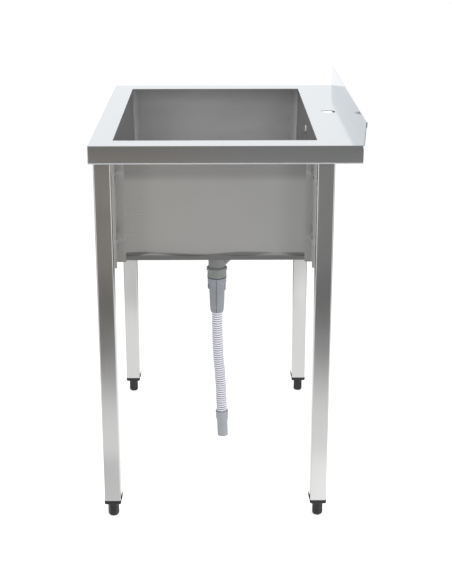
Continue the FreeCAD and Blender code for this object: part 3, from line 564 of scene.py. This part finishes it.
# ------------------------------------------------------------------ the hose
# the route's points, in metres, as in the construction
ROUTE = [(0.0, -0.0223, 0.388), (0.0004, -0.022, 0.327), (0.0009, -0.0203, 0.263), (0.0003, -0.0143, 0.199),
         (-0.0004, -0.0122, 0.142), (0.0, -0.0104, 0.0905)]
HOSE_R = 14.35
cd = bpy.data.curves.new("hose_line", "CURVE")
cd.dimensions = "3D"
spl = cd.splines.new("NURBS")
spl.points.add(len(ROUTE) - 1)
for i, p in enumerate(ROUTE):
    spl.points[i].co = (*p, 1.0)
spl.order_u = 3
spl.use_endpoint_u = True
spl.resolution_u = 48
line_ob = bpy.data.objects.new("hose_line", cd)
SC.collection.objects.link(line_ob)
bpy.context.view_layer.update()
lm = bpy.data.meshes.new_from_object(line_ob)
LINE = [tuple(v.co) for v in lm.vertices]
if LINE[0][2] < LINE[-1][2]:
    LINE.reverse()
bpy.data.meshes.remove(lm)
bpy.data.objects.remove(line_ob)


def along(line):
    """Arc-length lookup on a dense polyline in metres; returns point and tangent in mm."""
    p = np.array(line, float) * 1000.0
    seg = np.linalg.norm(np.diff(p, axis=0), axis=1)
    s = np.concatenate([[0], np.cumsum(seg)])

    def at(x):
        q = np.array([np.interp(x, s, p[:, k]) for k in range(3)])
        a = np.array([np.interp(max(0, x - 2.0), s, p[:, k]) for k in range(3)])
        b = np.array([np.interp(min(s[-1], x + 2.0), s, p[:, k]) for k in range(3)])
        d_ = (b - a) / np.linalg.norm(b - a)
        return q, d_
    return at, float(s[-1])


def corrugated(name, line, r_out, depth, pitch, wall=0.9, segs=56):
    at, length = along(line)
    n_rings = int(round(length / pitch))
    pitch = length / n_rings
    step = pitch / 12.0
    k = int(round(length / step))
    loops = []
    ref = np.array([1.0, 0.0, 0.0])

    def ring(x, r):
        q, d_ = at(x)
        e1 = ref - d_ * float(ref @ d_)
        e1 /= np.linalg.norm(e1)
        e2 = np.cross(d_, e1)
        return [tuple(q + r * (math.cos(2 * math.pi * j / segs) * e1 + math.sin(2 * math.pi * j / segs) * e2))
                for j in range(segs)]

    def radius(x):
        w = (x / pitch) % 1.0
        c = 0.5 - 0.5 * math.cos(2 * math.pi * w)
        c = c ** 0.62              # broad rounded crest, narrow groove
        return r_out - depth * (1 - c)
    xs = [length * i / k for i in range(k + 1)]
    for x in xs:
        loops.append(ring(x, radius(x)))
    for x in reversed(xs[::3]):
        loops.append(ring(x, r_out - depth - wall))
    ob = loops_mesh(name, loops, ring=True, sharp=None)
    # how deep in a groove each point lies, for the material
    deep = [1.0 - (radius(x) - (r_out - depth)) / depth for x in xs] + [0.5] * (len(loops) - len(xs))
    at_ = ob.data.attributes.new("groove", "FLOAT", "POINT")
    at_.data.foreach_set("value", [g_ for g_ in deep for _ in range(segs)])
    return ob


hose = corrugated("drain_hose_corrugated", LINE, HOSE_R, 1.75, 6.15)
hose.data.materials.clear()
hose.data.materials.append(M["translucent_hose"])
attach(hose, "sink")
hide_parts("drain_hose")
HOSE_LEN = along(LINE)[1] * MM

# ------------------------------------------------------------------ cuff on the hose
e_top = Vector(ROUTE[-1]) * 1000.0
ue = (Vector(ROUTE[-1]) - Vector(ROUTE[-2])).normalized()
c0 = e_top - ue * 12.0
cuff = lathe("hose_cuff_moulded", [
    (14.75, 0, 0.3), (16.1, 0, 0.5), (16.7, 1.2, 0.6), (16.7, 3.4, 0.4), (16.35, 4.0, 0.4), (16.35, 15.0, 3.0), (16.1, 20.0, 4.0),
    (14.8, 29.0, 4.0), (14.1, 34.5, 3.0), (14.05, 66.0, 0.4), (14.1, 66.6, 0.3), (14.1, 70.9, 0.5), (13.6, 71.2, 0.3),
    (11.9, 71.2, 0.3), (11.7, 70.6, 0.3), (11.7, 34.0, 0.5), (12.3, 30.0, 0.5), (12.9, 14.0, 0.3), (12.9, 12.0, 0),
    (14.75, 12.0, 0)], at=tuple(c0), d=tuple(ue), segs=96)
piece(cuff, "sink", M["cuff_plastic"], "hose_cuff")

# ------------------------------------------------------------------ waste: adapter, union nut
DX, DY = 0.0, -22.5
adapter = lathe("hose_adapter_moulded", [
    (18.6, 475.2, 0), (18.6, 458.0, 1), (17.4, 440.0, 3), (16.2, 414.0, 3), (12.4, 400.0, 1), (12.4, 388.3, 0),
    (15.2, 388.3, 0), (15.2, 381.4, 0.3), (16.0, 380.6, 0.6), (17.0, 384.0, 3), (18.0, 392.0, 5), (18.7, 402.0, 6),
    (19.0, 411.0, 6), (20.5, 452.0, 2), (20.6, 457.4, 1.4), (22.6, 459.4, 1.4), (24.2, 460.6, 1.0), (24.3, 474.6, 0.5),
    (23.9, 475.2, 0.2)], at=(DX, DY, 0), segs=128)


def block(name, x0, x1, y0, y1, z0, z1, r=0.6):
    lp = [rr_loop((x1 - x0) / 2, (y1 - y0) / 2, r, z, (x0 + x1) / 2, (y0 + y1) / 2, 1, 1, 4) for z in (z0, z1)]
    ob = loops_mesh(name, lp)
    return ob


lug1 = block("lug1", DX - 4.5, DX + 4.5, DY - 24.0, DY - 19.2, 444.0, 456.4, 1.2)
lug2 = block("lug2", DX - 4.5, DX + 4.5, DY + 19.2, DY + 22.6, 441.0, 457.0, 1.2)
# raised moulding seam that faces the end, running down the body
seam_loops = []
for i in range(41):
    z = 457.5 - (457.5 - 399.0) * i / 40
    rr_ = np.interp(z, [384, 392, 402, 411, 452, 458], [17.0, 18.0, 18.7, 19.0, 20.5, 20.6])
    w = 1.1
    seam_loops.append([(DX + rr_ - 0.8, DY - 1.5 - w, z), (DX + rr_ + 0.15, DY - 1.5 - w, z), (DX + rr_ + 0.45, DY - 1.5 - 0.4 * w, z),
                       (DX + rr_ + 0.45, DY - 1.5 + 0.4 * w, z), (DX + rr_ + 0.15, DY - 1.5 + w, z),
                       (DX + rr_ - 0.8, DY - 1.5 + w, z)])
seam = loops_mesh("seam", seam_loops, sharp=60)
adapter = join("hose_adapter_moulded", [adapter, lug1, lug2, seam])
adapter.data.set_sharp_from_angle(angle=math.radians(32))
piece(adapter, "sink", ADAPTER, "hose_adapter")


def ribs(r, z, a, z0=477.5, z1=493.5, n_=30, depth=0.35, r_min=24.0):
    if r < r_min or z < z0 or z > z1:
        return r
    w = math.cos(n_ * a)
    return r - depth * (1.0 if w < -0.2 else 0.0) * min(1.0, (z - z0) / 1.0, (z1 - z) / 1.0)


nut = lathe("union_nut_ribbed", [
    (22.0, 476.7, 0), (23.9, 476.7, 0.4), (24.5, 477.6, 0.4), (24.5, 479.0), (24.5, 480.0), (24.5, 492.0), (24.5, 493.0),
    (24.5, 493.8, 0.4), (25.4, 494.8, 0.5), (26.5, 495.6, 0.6), (26.7, 497.0, 0.4), (26.7, 499.4, 0.5), (26.2, 501.2, 0.6),
    (25.0, 502.6, 0.6), (22.4, 502.6, 0.2), (22.0, 501.8, 0)], at=(DX, DY, 0), segs=240,
    shape=lambda r, z, a: ribs(r, z, a), sharp=40)
piece(nut, "sink", M["green_grey_plastic"], "union_nut")

# ------------------------------------------------------------------ feet, studs and leg caps
LEGS = {"front_right": (375.0, -270.7, 1), "front_left": (-375.0, -270.7, 1),
        "rear_right": (375.0, 215.9, -1), "rear_left": (-375.0, 215.9, -1)}
TURN = {"front_right": 90.0, "front_left": 12.0, "rear_right": 8.0, "rear_left": 50.0}


def soft_min(a, b, k=0.8):
    h = max(0.0, min(1.0, 0.5 + 0.5 * (b - a) / k))
    return b * (1 - h) + a * h - k * h * (1 - h)


def foot(name, x, y, turn):
    segs = 120
    dome = [(0.0, 6.5), (0.35, 7.6), (0.9, 9.2), (1.7, 10.3), (2.6, 11.2), (3.8, 12.05), (5.2, 12.7), (7.0, 13.2),
            (8.8, 13.6), (13.0, 13.9), (40.0, 13.9)]
    dz, dr = zip(*dome)
    zs = [0.0, 0.2, 0.5, 0.9, 1.5, 2.2, 3.0, 4.0, 5.2, 6.6, 8.2, 10.0, 13.0, 16.0, 19.0, 22.0, 25.0, 27.0, 27.6, 28.6,
          29.6, 30.4, 31.0, 31.5, 33.0, 34.8, 35.3, 35.7, 36.0]
    loops = []
    for z in zs:
        lp = []
        for j in range(segs):
            a = 360.0 * j / segs
            b = (a - turn + 30.0) % 60.0 - 30.0          # angle from the nearest flat's normal +-30 at corners
            b = ((a - turn) % 60.0) - 30.0
            rh = 11.6 / math.cos(math.radians(b))
            rh = soft_min(rh, 13.05, 0.5)
            r = soft_min(rh, float(np.interp(z, dz, dr)), 0.6)
            if z > 27.0:
                rc = float(np.interp(z, [27.0, 31.0, 31.5, 34.8, 35.5, 36.0], [11.2, 13.1, 13.35, 13.35, 13.2, 12.8]))
                r = max(r, rc) if z < 31.0 else rc
            lp.append((x + r * math.cos(math.radians(a)), y + r * math.sin(math.radians(a)), z))
        loops.append(lp)
    # recess around the stud on top
    for r, z in ((6.2, 36.0), (5.6, 35.6), (5.0, 35.6), (5.0, 30.0)):
        loops.append([(x + r * math.cos(2 * math.pi * j / segs), y + r * math.sin(2 * math.pi * j / segs), z)
                      for j in range(segs)])
    return loops_mesh(name, loops, sharp=50)


def stud(name, x, y):
    segs, pitch = 36, 1.5
    loops = []
    z0, z1 = 13.0, 98.0
    n_ = 340
    for i in range(n_ + 1):
        z = z0 + (z1 - z0) * i / n_
        lp = []
        for j in range(segs):
            a = j / segs
            w = (z / pitch - a) % 1.0
            tri = abs(2 * w - 1)                         # 1 at the root, 0 at the crest
            depth = 0.72 * max(0.0, min(1.0, (tri - 0.12) / 0.76))
            if z < 34.0:
                depth = 0.0
            r = 4.9 - depth - max(0.0, (z - (z1 - 0.8))) * 1.0
            lp.append((x + r * math.cos(2 * math.pi * a), y + r * math.sin(2 * math.pi * a), z))
        loops.append(lp)
    return loops_mesh(name, loops, sharp=45)


def leg_cap(name, x, y, side):
    h = 19.0 + 0.7
    parts = []
    # flange: rounded square, its underside drawn in, with a bore for the stud
    outer = []
    for z, ins, rr_ in ((36.0, 2.1, 2.6), (36.15, 1.4, 3.0), (36.6, 0.8, 3.2), (37.6, 0.35, 3.4), (40.0, 0.12, 3.4),
                        (44.6, 0.0, 3.4), (45.05, 0.15, 3.3), (45.3, 0.5, 3.1)):
        outer.append(rr_loop(h - ins, h - ins, rr_, z, x, y, 8, 8, 7))
    k = len(outer[0])
    # top face runs in under the tube, then the plug's wall goes up inside the tube
    r = 19.0 - 1.2 - 0.05
    for z, hh, rr_ in ((45.3, r, 1.7), (76.6, r, 1.7), (77.3, r - 0.7, 1.2), (77.3, r - 2.2, 1.0), (46.0, r - 2.2, 1.0)):
        outer.append(rr_loop(hh, hh, rr_, z, x, y, 8, 8, 7))
    # hub in the middle, bore down to the underside
    def circ(rad, z):
        base = rr_loop(h, h, 3.4, z, 0.0, 0.0, 8, 8, 7)
        out = []
        for p in base:
            a = math.atan2(p[1], p[0])
            out.append((x + rad * math.cos(a), y + rad * math.sin(a), z))
        return out
    outer += [circ(10.5, 46.0), circ(10.5, 74.8), circ(10.0, 75.3), circ(5.4, 75.3), circ(5.4, 36.6), circ(5.9, 36.2),
              circ(9.2, 36.2), circ(9.6, 36.0)]
    cap = loops_mesh(name + "_body", outer, ring=True, sharp=38)
    parts.append(cap)
    # cross ribs in the plug
    for hx_, hy_ in ((r - 1.5, 1.2), (1.2, r - 1.5)):
        parts.append(block(name + "_rib", x - hx_, x + hx_, y - hy_, y + hy_, 45.6, 69.3, 0.5))
    # tongue: thin, rounded on top, leaning away from the tube
    ya = y + side * (h - 0.4)
    tl = []
    nz = 14
    for i in range(nz + 1):
        w = i / nz
        z = 43.3 + 17.5 * w
        hw = 6.5
        if z > 56.0:
            q = (z - 56.0) / 4.8
            hw = 6.5 - 4.6 * (1 - math.sqrt(max(0.0, 1 - min(1.0, q) ** 2)))
        off = 3.0 * max(0.0, (z - 43.3) / 17.5) ** 1.15
        th = 1.7 if i < nz else 0.9
        yi = ya + side * (off + (0 if i < nz else 0.4))
        yo = yi + side * th
        e = 0.35
        pts = [(x - hw + e, yi), (x + hw - e, yi), (x + hw, yi + side * e), (x + hw, yo - side * e), (x + hw - e, yo),
               (x - hw + e, yo), (x - hw, yo - side * e), (x - hw, yi + side * e)]
        tl.append([(a, b, z) for a, b in pts])
    parts.append(loops_mesh(name + "_tongue", tl, sharp=50))
    ob = join(name, parts)
    ob.data.set_sharp_from_angle(angle=math.radians(38))
    return ob


for nm, (lx, ly, side) in LEGS.items():
    f_ = foot("foot_moulded_" + nm, lx, ly, TURN[nm])
    piece(f_, nm + "_foot", M["black_nylon"], "foot_" + nm)
    s_ = stud("foot_stud_threaded_" + nm, lx, ly)
    piece(s_, nm + "_foot", M["zinc_inserts"], "foot_stud_" + nm)
    c_ = leg_cap("leg_cap_moulded_" + nm, lx, ly, side)
    piece(c_, "sink", M["black_nylon"], "leg_cap_" + nm)

# ------------------------------------------------------------------ bowl
OX, OY0, OY1 = 341.0, -249.5, 198.5
BCX, BCY = 0.0, (OY0 + OY1) / 2
BHX, BHY = OX, (OY1 - OY0) / 2


def waves(p, n_, seed):
    """Slow dents in the sheet, in mm, always towards the inside; nothing at the rim or in the corners."""
    x, y, z = p
    v = 0.0
    rng = np.random.RandomState(seed)
    for _ in range(7):
        k_ = rng.uniform(-1, 1, 3)
        k_ /= np.linalg.norm(k_)
        lam = rng.uniform(140, 320)
        ph = rng.uniform(0, 2 * math.pi)
        v += math.sin(2 * math.pi * (k_[0] * x + k_[1] * y + k_[2] * z) / lam + ph)
    return v / 7.0


def bowl_loops(o):
    """Loops from the rim down to the waste's seat; o = offset outward from the inner face."""
    NX, NY, NC = 54, 36, 5
    top = 898.8
    RC = 2.5
    loops = []
    z = top
    zf = 621.7
    R_ = 20.0
    for z in (top, top - 1.0, top - 4.0):
        loops.append(rr_loop(BHX + o, BHY + o, RC + o, z, BCX, BCY, NX, NY, NC))
    z = top - 14.0
    while z > zf + R_ + 5:
        loops.append(rr_loop(BHX + o, BHY + o, RC + o, z, BCX, BCY, NX, NY, NC))
        z -= 12.0
    for i in range(13):
        a = math.radians(90.0 * i / 12)
        ins = R_ - (R_ + o) * math.cos(a)
        zz = zf + R_ - (R_ + o) * math.sin(a)
        loops.append(rr_loop(BHX - ins, BHY - ins, max(0.35, RC - ins), zz, BCX, BCY, NX, NY, NC))
    # floor: from that loop to a circle round the waste, with a slow fall
    last = loops[-1]
    rs = 64.0
    circ = []
    for p in last:
        a = math.atan2(p[1] - DY, p[0] - DX)
        circ.append((DX + rs * math.cos(a), DY + rs * math.sin(a), 0))
    nfl = 16
    for i in range(1, nfl + 1):
        w = i / nfl
        z = (zf - o) - 3.4 * (w ** 1.2)
        lp = []
        for p, c in zip(last, circ):
            lp.append((p[0] + (c[0] - p[0]) * w, p[1] + (c[1] - p[1]) * w, z))
        loops.append(lp)
    # pressed seat
    zs = 612.6 - o
    ze = (zf - o) - 3.4
    for r_, z in ((62.8, ze - 0.4), (61.6, ze - 1.3), (60.6 + 0.3 * o, (ze + zs) / 2), (59.8, zs + 0.9), (58.6, zs + 0.2),
                  (57.0, zs), (50.0, zs), (44.5, zs)):
        lp = []
        for p in last:
            a = math.atan2(p[1] - DY, p[0] - DX)
            lp.append((DX + r_ * math.cos(a), DY + r_ * math.sin(a), z))
        loops.append(lp)
    # slow dents in the walls
    out = []
    for lp in loops:
        new = []
        for x, y, z in lp:
            dx = BHX - abs(x - BCX)
            dy = BHY - abs(y - BCY)
            if z > 643:
                fade_z = min(1.0, max(0.0, (885 - z) / 50)) * min(1.0, max(0.0, (z - 643) / 30))
                along_ = dy if dx < dy else dx
                fade = min(1.0, max(0.0, (along_ - 22) / 60)) * fade_z
                v = (waves((x, y, z), 0, 11 if dx < dy else 23) * 0.55 + 0.5) * fade
                if dx < dy:
                    x -= math.copysign(v, x - BCX)
                else:
                    y -= math.copysign(v, y - BCY)
            # the lower bend wanders a little in height along each wall
            bell = math.exp(-((z - 638.0) / 9.0) ** 2)
            if bell > 0.01 and min(dx, dy) < 24:
                u_ = y if dx < dy else x
                al = dy if dx < dy else dx
                q_ = (0.5 + 0.5 * math.sin(2 * math.pi * (u_ / 190.0 + 0.15)) * math.cos(2 * math.pi * (u_ / 437.0 + 0.3)))
                v2 = 1.5 * q_ * bell * min(1.0, max(0.0, (al - 18) / 50))
                if dx < dy:
                    x -= math.copysign(v2, x - BCX)
                else:
                    y -= math.copysign(v2, y - BCY)
            new.append((x, y, z))
        out.append(new)
    return out


inner = bowl_loops(0.0)
outer = bowl_loops(1.0)
bl = list(inner) + list(reversed(outer))
# rim flange under the worktop
fl = [rr_loop(BHX + 9, BHY + 9, 4.0, 897.8, BCX, BCY, 54, 36, 5), rr_loop(BHX + 9, BHY + 9, 4.0, 898.8, BCX, BCY, 54, 36, 5)]
bl = bl[:-1] + [rr_loop(BHX + 1.0, BHY + 1.0, 3.5, 897.8, BCX, BCY, 54, 36, 5)] + fl
bowl = loops_mesh("bowl_welded", bl, ring=True, sharp=40)
piece(bowl, "sink", M["satin_steel_bowl"], "bowl")

# ------------------------------------------------------------------ the nodes that stay
for n_, o in NODES.items():
    o.data.materials.clear()
    o.data.materials.append(WASTE if n_ in ("waste_body", "waste_tail", "waste_inlet") else M[SLOTS[n_]])

# ------------------------------------------------------------------ floor and light
def emitter(name, node_builder):
    mat = bpy.data.materials.new(name)
    mat.use_nodes = True
    t = mat.node_tree
    t.nodes.clear()
    out = t.nodes.new("ShaderNodeOutputMaterial")
    em = t.nodes.new("ShaderNodeEmission")
    t.links.new(em.outputs[0], out.inputs["Surface"])
    node_builder(t, em)
    return mat


fm = bpy.data.materials.new("floor_pale")
t, bs = nt(fm)
bs.inputs["Base Color"].default_value = (0.82, 0.82, 0.82, 1)
bs.inputs["Roughness"].default_value = 0.9
bs.inputs["Specular IOR Level"].default_value = 0.1
bs.inputs["Emission Color"].default_value = (1, 1, 1, 1)
bs.inputs["Emission Strength"].default_value = 0.62
fs = 40.0
fme = bpy.data.meshes.new("floor")
fme.from_pydata([(-fs, -fs, 0), (fs, -fs, 0), (fs, fs, 0), (-fs, fs, 0)], [], [(0, 1, 2, 3)])
floor = bpy.data.objects.new("floor", fme)
floor.location.z = -0.0005
SC.collection.objects.link(floor)
fme.materials.append(fm)
floor.visible_glossy = False


# what the polished faces see of the studio's floor: pale close to the sink, dark further off, pale again far behind
def card(t, em):
    tc = t.nodes.new("ShaderNodeTexCoord")
    sep = t.nodes.new("ShaderNodeSeparateXYZ")
    t.links.new(tc.outputs["Object"], sep.inputs[0])
    X, Y = sep.outputs["X"], sep.outputs["Y"]
    ab = t.nodes.new("ShaderNodeVectorMath")
    ab.operation = "ABSOLUTE"
    t.links.new(tc.outputs["Object"], ab.inputs[0])
    sb = t.nodes.new("ShaderNodeVectorMath")
    sb.operation = "SUBTRACT"
    sb.inputs[1].default_value = (0.40, 0.30, 0.0)
    t.links.new(ab.outputs[0], sb.inputs[0])
    mx = t.nodes.new("ShaderNodeVectorMath")
    mx.operation = "MAXIMUM"
    mx.inputs[1].default_value = (0, 0, 0)
    t.links.new(sb.outputs[0], mx.inputs[0])
    ln = t.nodes.new("ShaderNodeVectorMath")
    ln.operation = "LENGTH"
    t.links.new(mx.outputs[0], ln.inputs[0])
    ramp = t.nodes.new("ShaderNodeValToRGB")
    t.links.new(remap(t, math_(t, "SUBTRACT", ln.outputs["Value"], remap(t, Y, -0.35, 0.35, -0.055, 0.035)), 0.0, 5.0, 0.0, 1.0), ramp.inputs["Fac"])
    cr_ = ramp.color_ramp
    cr_.interpolation = "LINEAR"
    stops = CARD_STOPS
    while len(cr_.elements) < len(stops):
        cr_.elements.new(0.5)
    for e_, (p_, v_) in zip(cr_.elements, stops):
        e_.position = p_ / 5.0
    for e_, (p_, v_) in zip(cr_.elements, stops):
        e_.color = (v_ / 1.4, v_ / 1.4, v_ / 1.4, 1)
    dist = ln.outputs["Value"]
    near = math_(t, "MULTIPLY", ramp.outputs["Color"], 1.4)
    # close to the sink, brighter on the +Y side than on the other
    lean = math_(t, "MULTIPLY", remap(t, Y, -0.35, 0.35, -SIDE, SIDE), smooth(t, dist, 0.38, 0.26))
    lean = math_(t, "MULTIPLY", lean, smooth(t, X, 0.40, 0.48))
    near = math_(t, "MULTIPLY", near, math_(t, "ADD", lean, 1.0))
    # soft pale patch in front of the right-hand end
    pa = math_(t, "MULTIPLY", smooth(t, math_(t, "ABSOLUTE", Y), 0.50, 0.34), smooth(t, X, 2.05, 2.35))
    pa = math_(t, "MULTIPLY", pa, smooth(t, X, 3.85, 3.45))
    pa = math_(t, "MULTIPLY", pa, remap(t, Y, -0.35, 0.35, 1.40, 0.8))
    near = math_(t, "ADD", near, math_(t, "MULTIPLY", pa, PATCH))
    # pale floor on both sides of it, which lights the rounded upright edges
    si = math_(t, "MULTIPLY", smooth(t, math_(t, "ABSOLUTE", Y), 0.72, 1.0), smooth(t, X, 0.45, 0.75))
    si = math_(t, "MULTIPLY", si, smooth(t, X, 4.2, 3.6))
    near = math_(t, "ADD", near, math_(t, "MULTIPLY", si, 0.9))
    far = smooth(t, X, -1.9, -2.5)
    val = math_(t, "ADD", near, math_(t, "MULTIPLY", far, 1.0))
    t.links.new(val, em.inputs["Strength"])
    # the dark part of the floor is a little warm on the -Y side
    wm = t.nodes.new("ShaderNodeMix")
    wm.data_type = "RGBA"
    wm.inputs[6].default_value = (1, 1, 1, 1)
    wm.inputs[7].default_value = (1.06, 1.0, 0.92, 1)
    wf = math_(t, "MULTIPLY", smooth(t, Y, 0.15, -0.30), smooth(t, dist, 0.9, 1.4))
    wf = math_(t, "MULTIPLY", wf, smooth(t, X, 0.0, 0.4))
    t.links.new(math_(t, "MULTIPLY", wf, smooth(t, Y, -1.0, -0.72)), wm.inputs[0])
    t.links.new(wm.outputs[2], em.inputs["Color"])


def smooth(t, v, a, b):
    r_ = t.nodes.new("ShaderNodeMapRange")
    r_.interpolation_type = "SMOOTHSTEP"
    flip = a > b
    r_.inputs["From Min"].default_value = b if flip else a
    r_.inputs["From Max"].default_value = a if flip else b
    r_.inputs["To Min"].default_value = 1.0 if flip else 0.0
    r_.inputs["To Max"].default_value = 0.0 if flip else 1.0
    t.links.new(v, r_.inputs["Value"])
    return r_.outputs["Result"]


CARD_STOPS = [(0.0, 1.09), (0.50, 0.99), (0.66, 0.95), (0.90, 0.52), (1.13, 0.30), (1.60, 0.165), (1.85, 0.16), (2.35, 0.22),
              (3.00, 0.25), (3.62, 0.318), (4.10, 0.205), (5.0, 0.19)]
SIDE = 0.27
PATCH = 0.17


def only_glossy(ob):
    for k_ in ("visible_camera", "visible_diffuse", "visible_transmission", "visible_volume_scatter", "visible_shadow"):
        setattr(ob, k_, False)


cme = bpy.data.meshes.new("floor_card")
cme.from_pydata([(-fs, -fs, 0), (fs, -fs, 0), (fs, fs, 0), (-fs, fs, 0)], [], [(0, 1, 2, 3)])
cardo = bpy.data.objects.new("floor_card", cme)
SC.collection.objects.link(cardo)
cardo.location.z = -0.0003
cme.materials.append(emitter("floor_card", card))
only_glossy(cardo)


# painted shade: a dim sheet, seen only in reflections, stands for the shade under the bowl as the bowl's lower bends
# see it
def under_bowl_shade(t, em):
    em.inputs["Color"].default_value = (1, 0.99, 0.97, 1)
    em.inputs["Strength"].default_value = 0.14


dme = bpy.data.meshes.new("under_shade_card")
dme.from_pydata([(-0.395, -0.243, 0), (0.395, -0.243, 0), (0.395, 0.190, 0), (-0.395, 0.190, 0)], [], [(0, 1, 2, 3)])
dimo = bpy.data.objects.new("under_shade_card", dme)
SC.collection.objects.link(dimo)
dimo.location.z = 0.60
dme.materials.append(emitter("under_shade_card", under_bowl_shade))
only_glossy(dimo)

world = bpy.data.worlds.new("studio")
SC.world = world
world.use_nodes = True
wt = world.node_tree
wt.nodes.clear()
wo = wt.nodes.new("ShaderNodeOutputWorld")
bg = wt.nodes.new("ShaderNodeBackground")
wt.links.new(bg.outputs[0], wo.inputs["Surface"])
tc = wt.nodes.new("ShaderNodeTexCoord")
sx_ = wt.nodes.new("ShaderNodeSeparateXYZ")
wt.links.new(tc.outputs["Generated"], sx_.inputs[0])
ramp = wt.nodes.new("ShaderNodeValToRGB")
wt.links.new(sx_.outputs["Z"], ramp.inputs["Fac"])
SKY = [(0.0, 1.0), (0.30, 1.0), (0.38, 0.86), (0.50, 0.52), (0.70, 0.36), (1.0, 0.32)]
while len(ramp.color_ramp.elements) < len(SKY):
    ramp.color_ramp.elements.new(0.5)
for e_, (p_, v_) in zip(ramp.color_ramp.elements, SKY):
    e_.position = p_
for e_, (p_, v_) in zip(ramp.color_ramp.elements, SKY):
    e_.color = (v_, v_, v_, 1)
# the wall behind the sink is the bright one, the room in front of it is dimmer
front = smooth(wt, sx_.outputs["X"], -0.25, 0.65)
fmul = wt.nodes.new("ShaderNodeMapRange")
fmul.inputs["To Min"].default_value = 1.0
fmul.inputs["To Max"].default_value = 0.40
wt.links.new(front, fmul.inputs["Value"])
vm = wt.nodes.new("ShaderNodeVectorMath")
vm.operation = "SCALE"
wt.links.new(ramp.outputs["Color"], vm.inputs[0])
wt.links.new(fmul.outputs["Result"], vm.inputs["Scale"])
wt.links.new(vm.outputs["Vector"], bg.inputs["Color"])
bg.inputs["Strength"].default_value = 1.17


def area(name, loc, target, size, size_y, power, color=(1, 1, 1)):
    ld = bpy.data.lights.new(name, "AREA")
    ld.shape = "RECTANGLE"
    ld.size = size
    ld.size_y = size_y
    ld.energy = power
    ld.color = color
    lo = bpy.data.objects.new(name, ld)
    SC.collection.objects.link(lo)
    lo.location = loc
    d_ = Vector(target) - Vector(loc)
    lo.rotation_euler = d_.to_track_quat("-Z", "Y").to_euler()
    lo.visible_camera = False
    return lo


key = area("key_right", (1.5, 2.1, 1.2), (0, 0, 0.45), 0.9, 1.6, 56)
fill = area("fill_left", (1.7, -2.1, 1.15), (0, 0, 0.45), 0.8, 1.5, 28)
key.visible_glossy = False
fill.visible_glossy = False
area("overhead", (-0.3, -0.2, 2.9), (0, 0, 0.9), 1.8, 1.4, 3)

SC.view_settings.view_transform = "Standard"
SC.view_settings.look = "None"
SC.view_settings.exposure = 0.0
SC.view_settings.gamma = 1.0
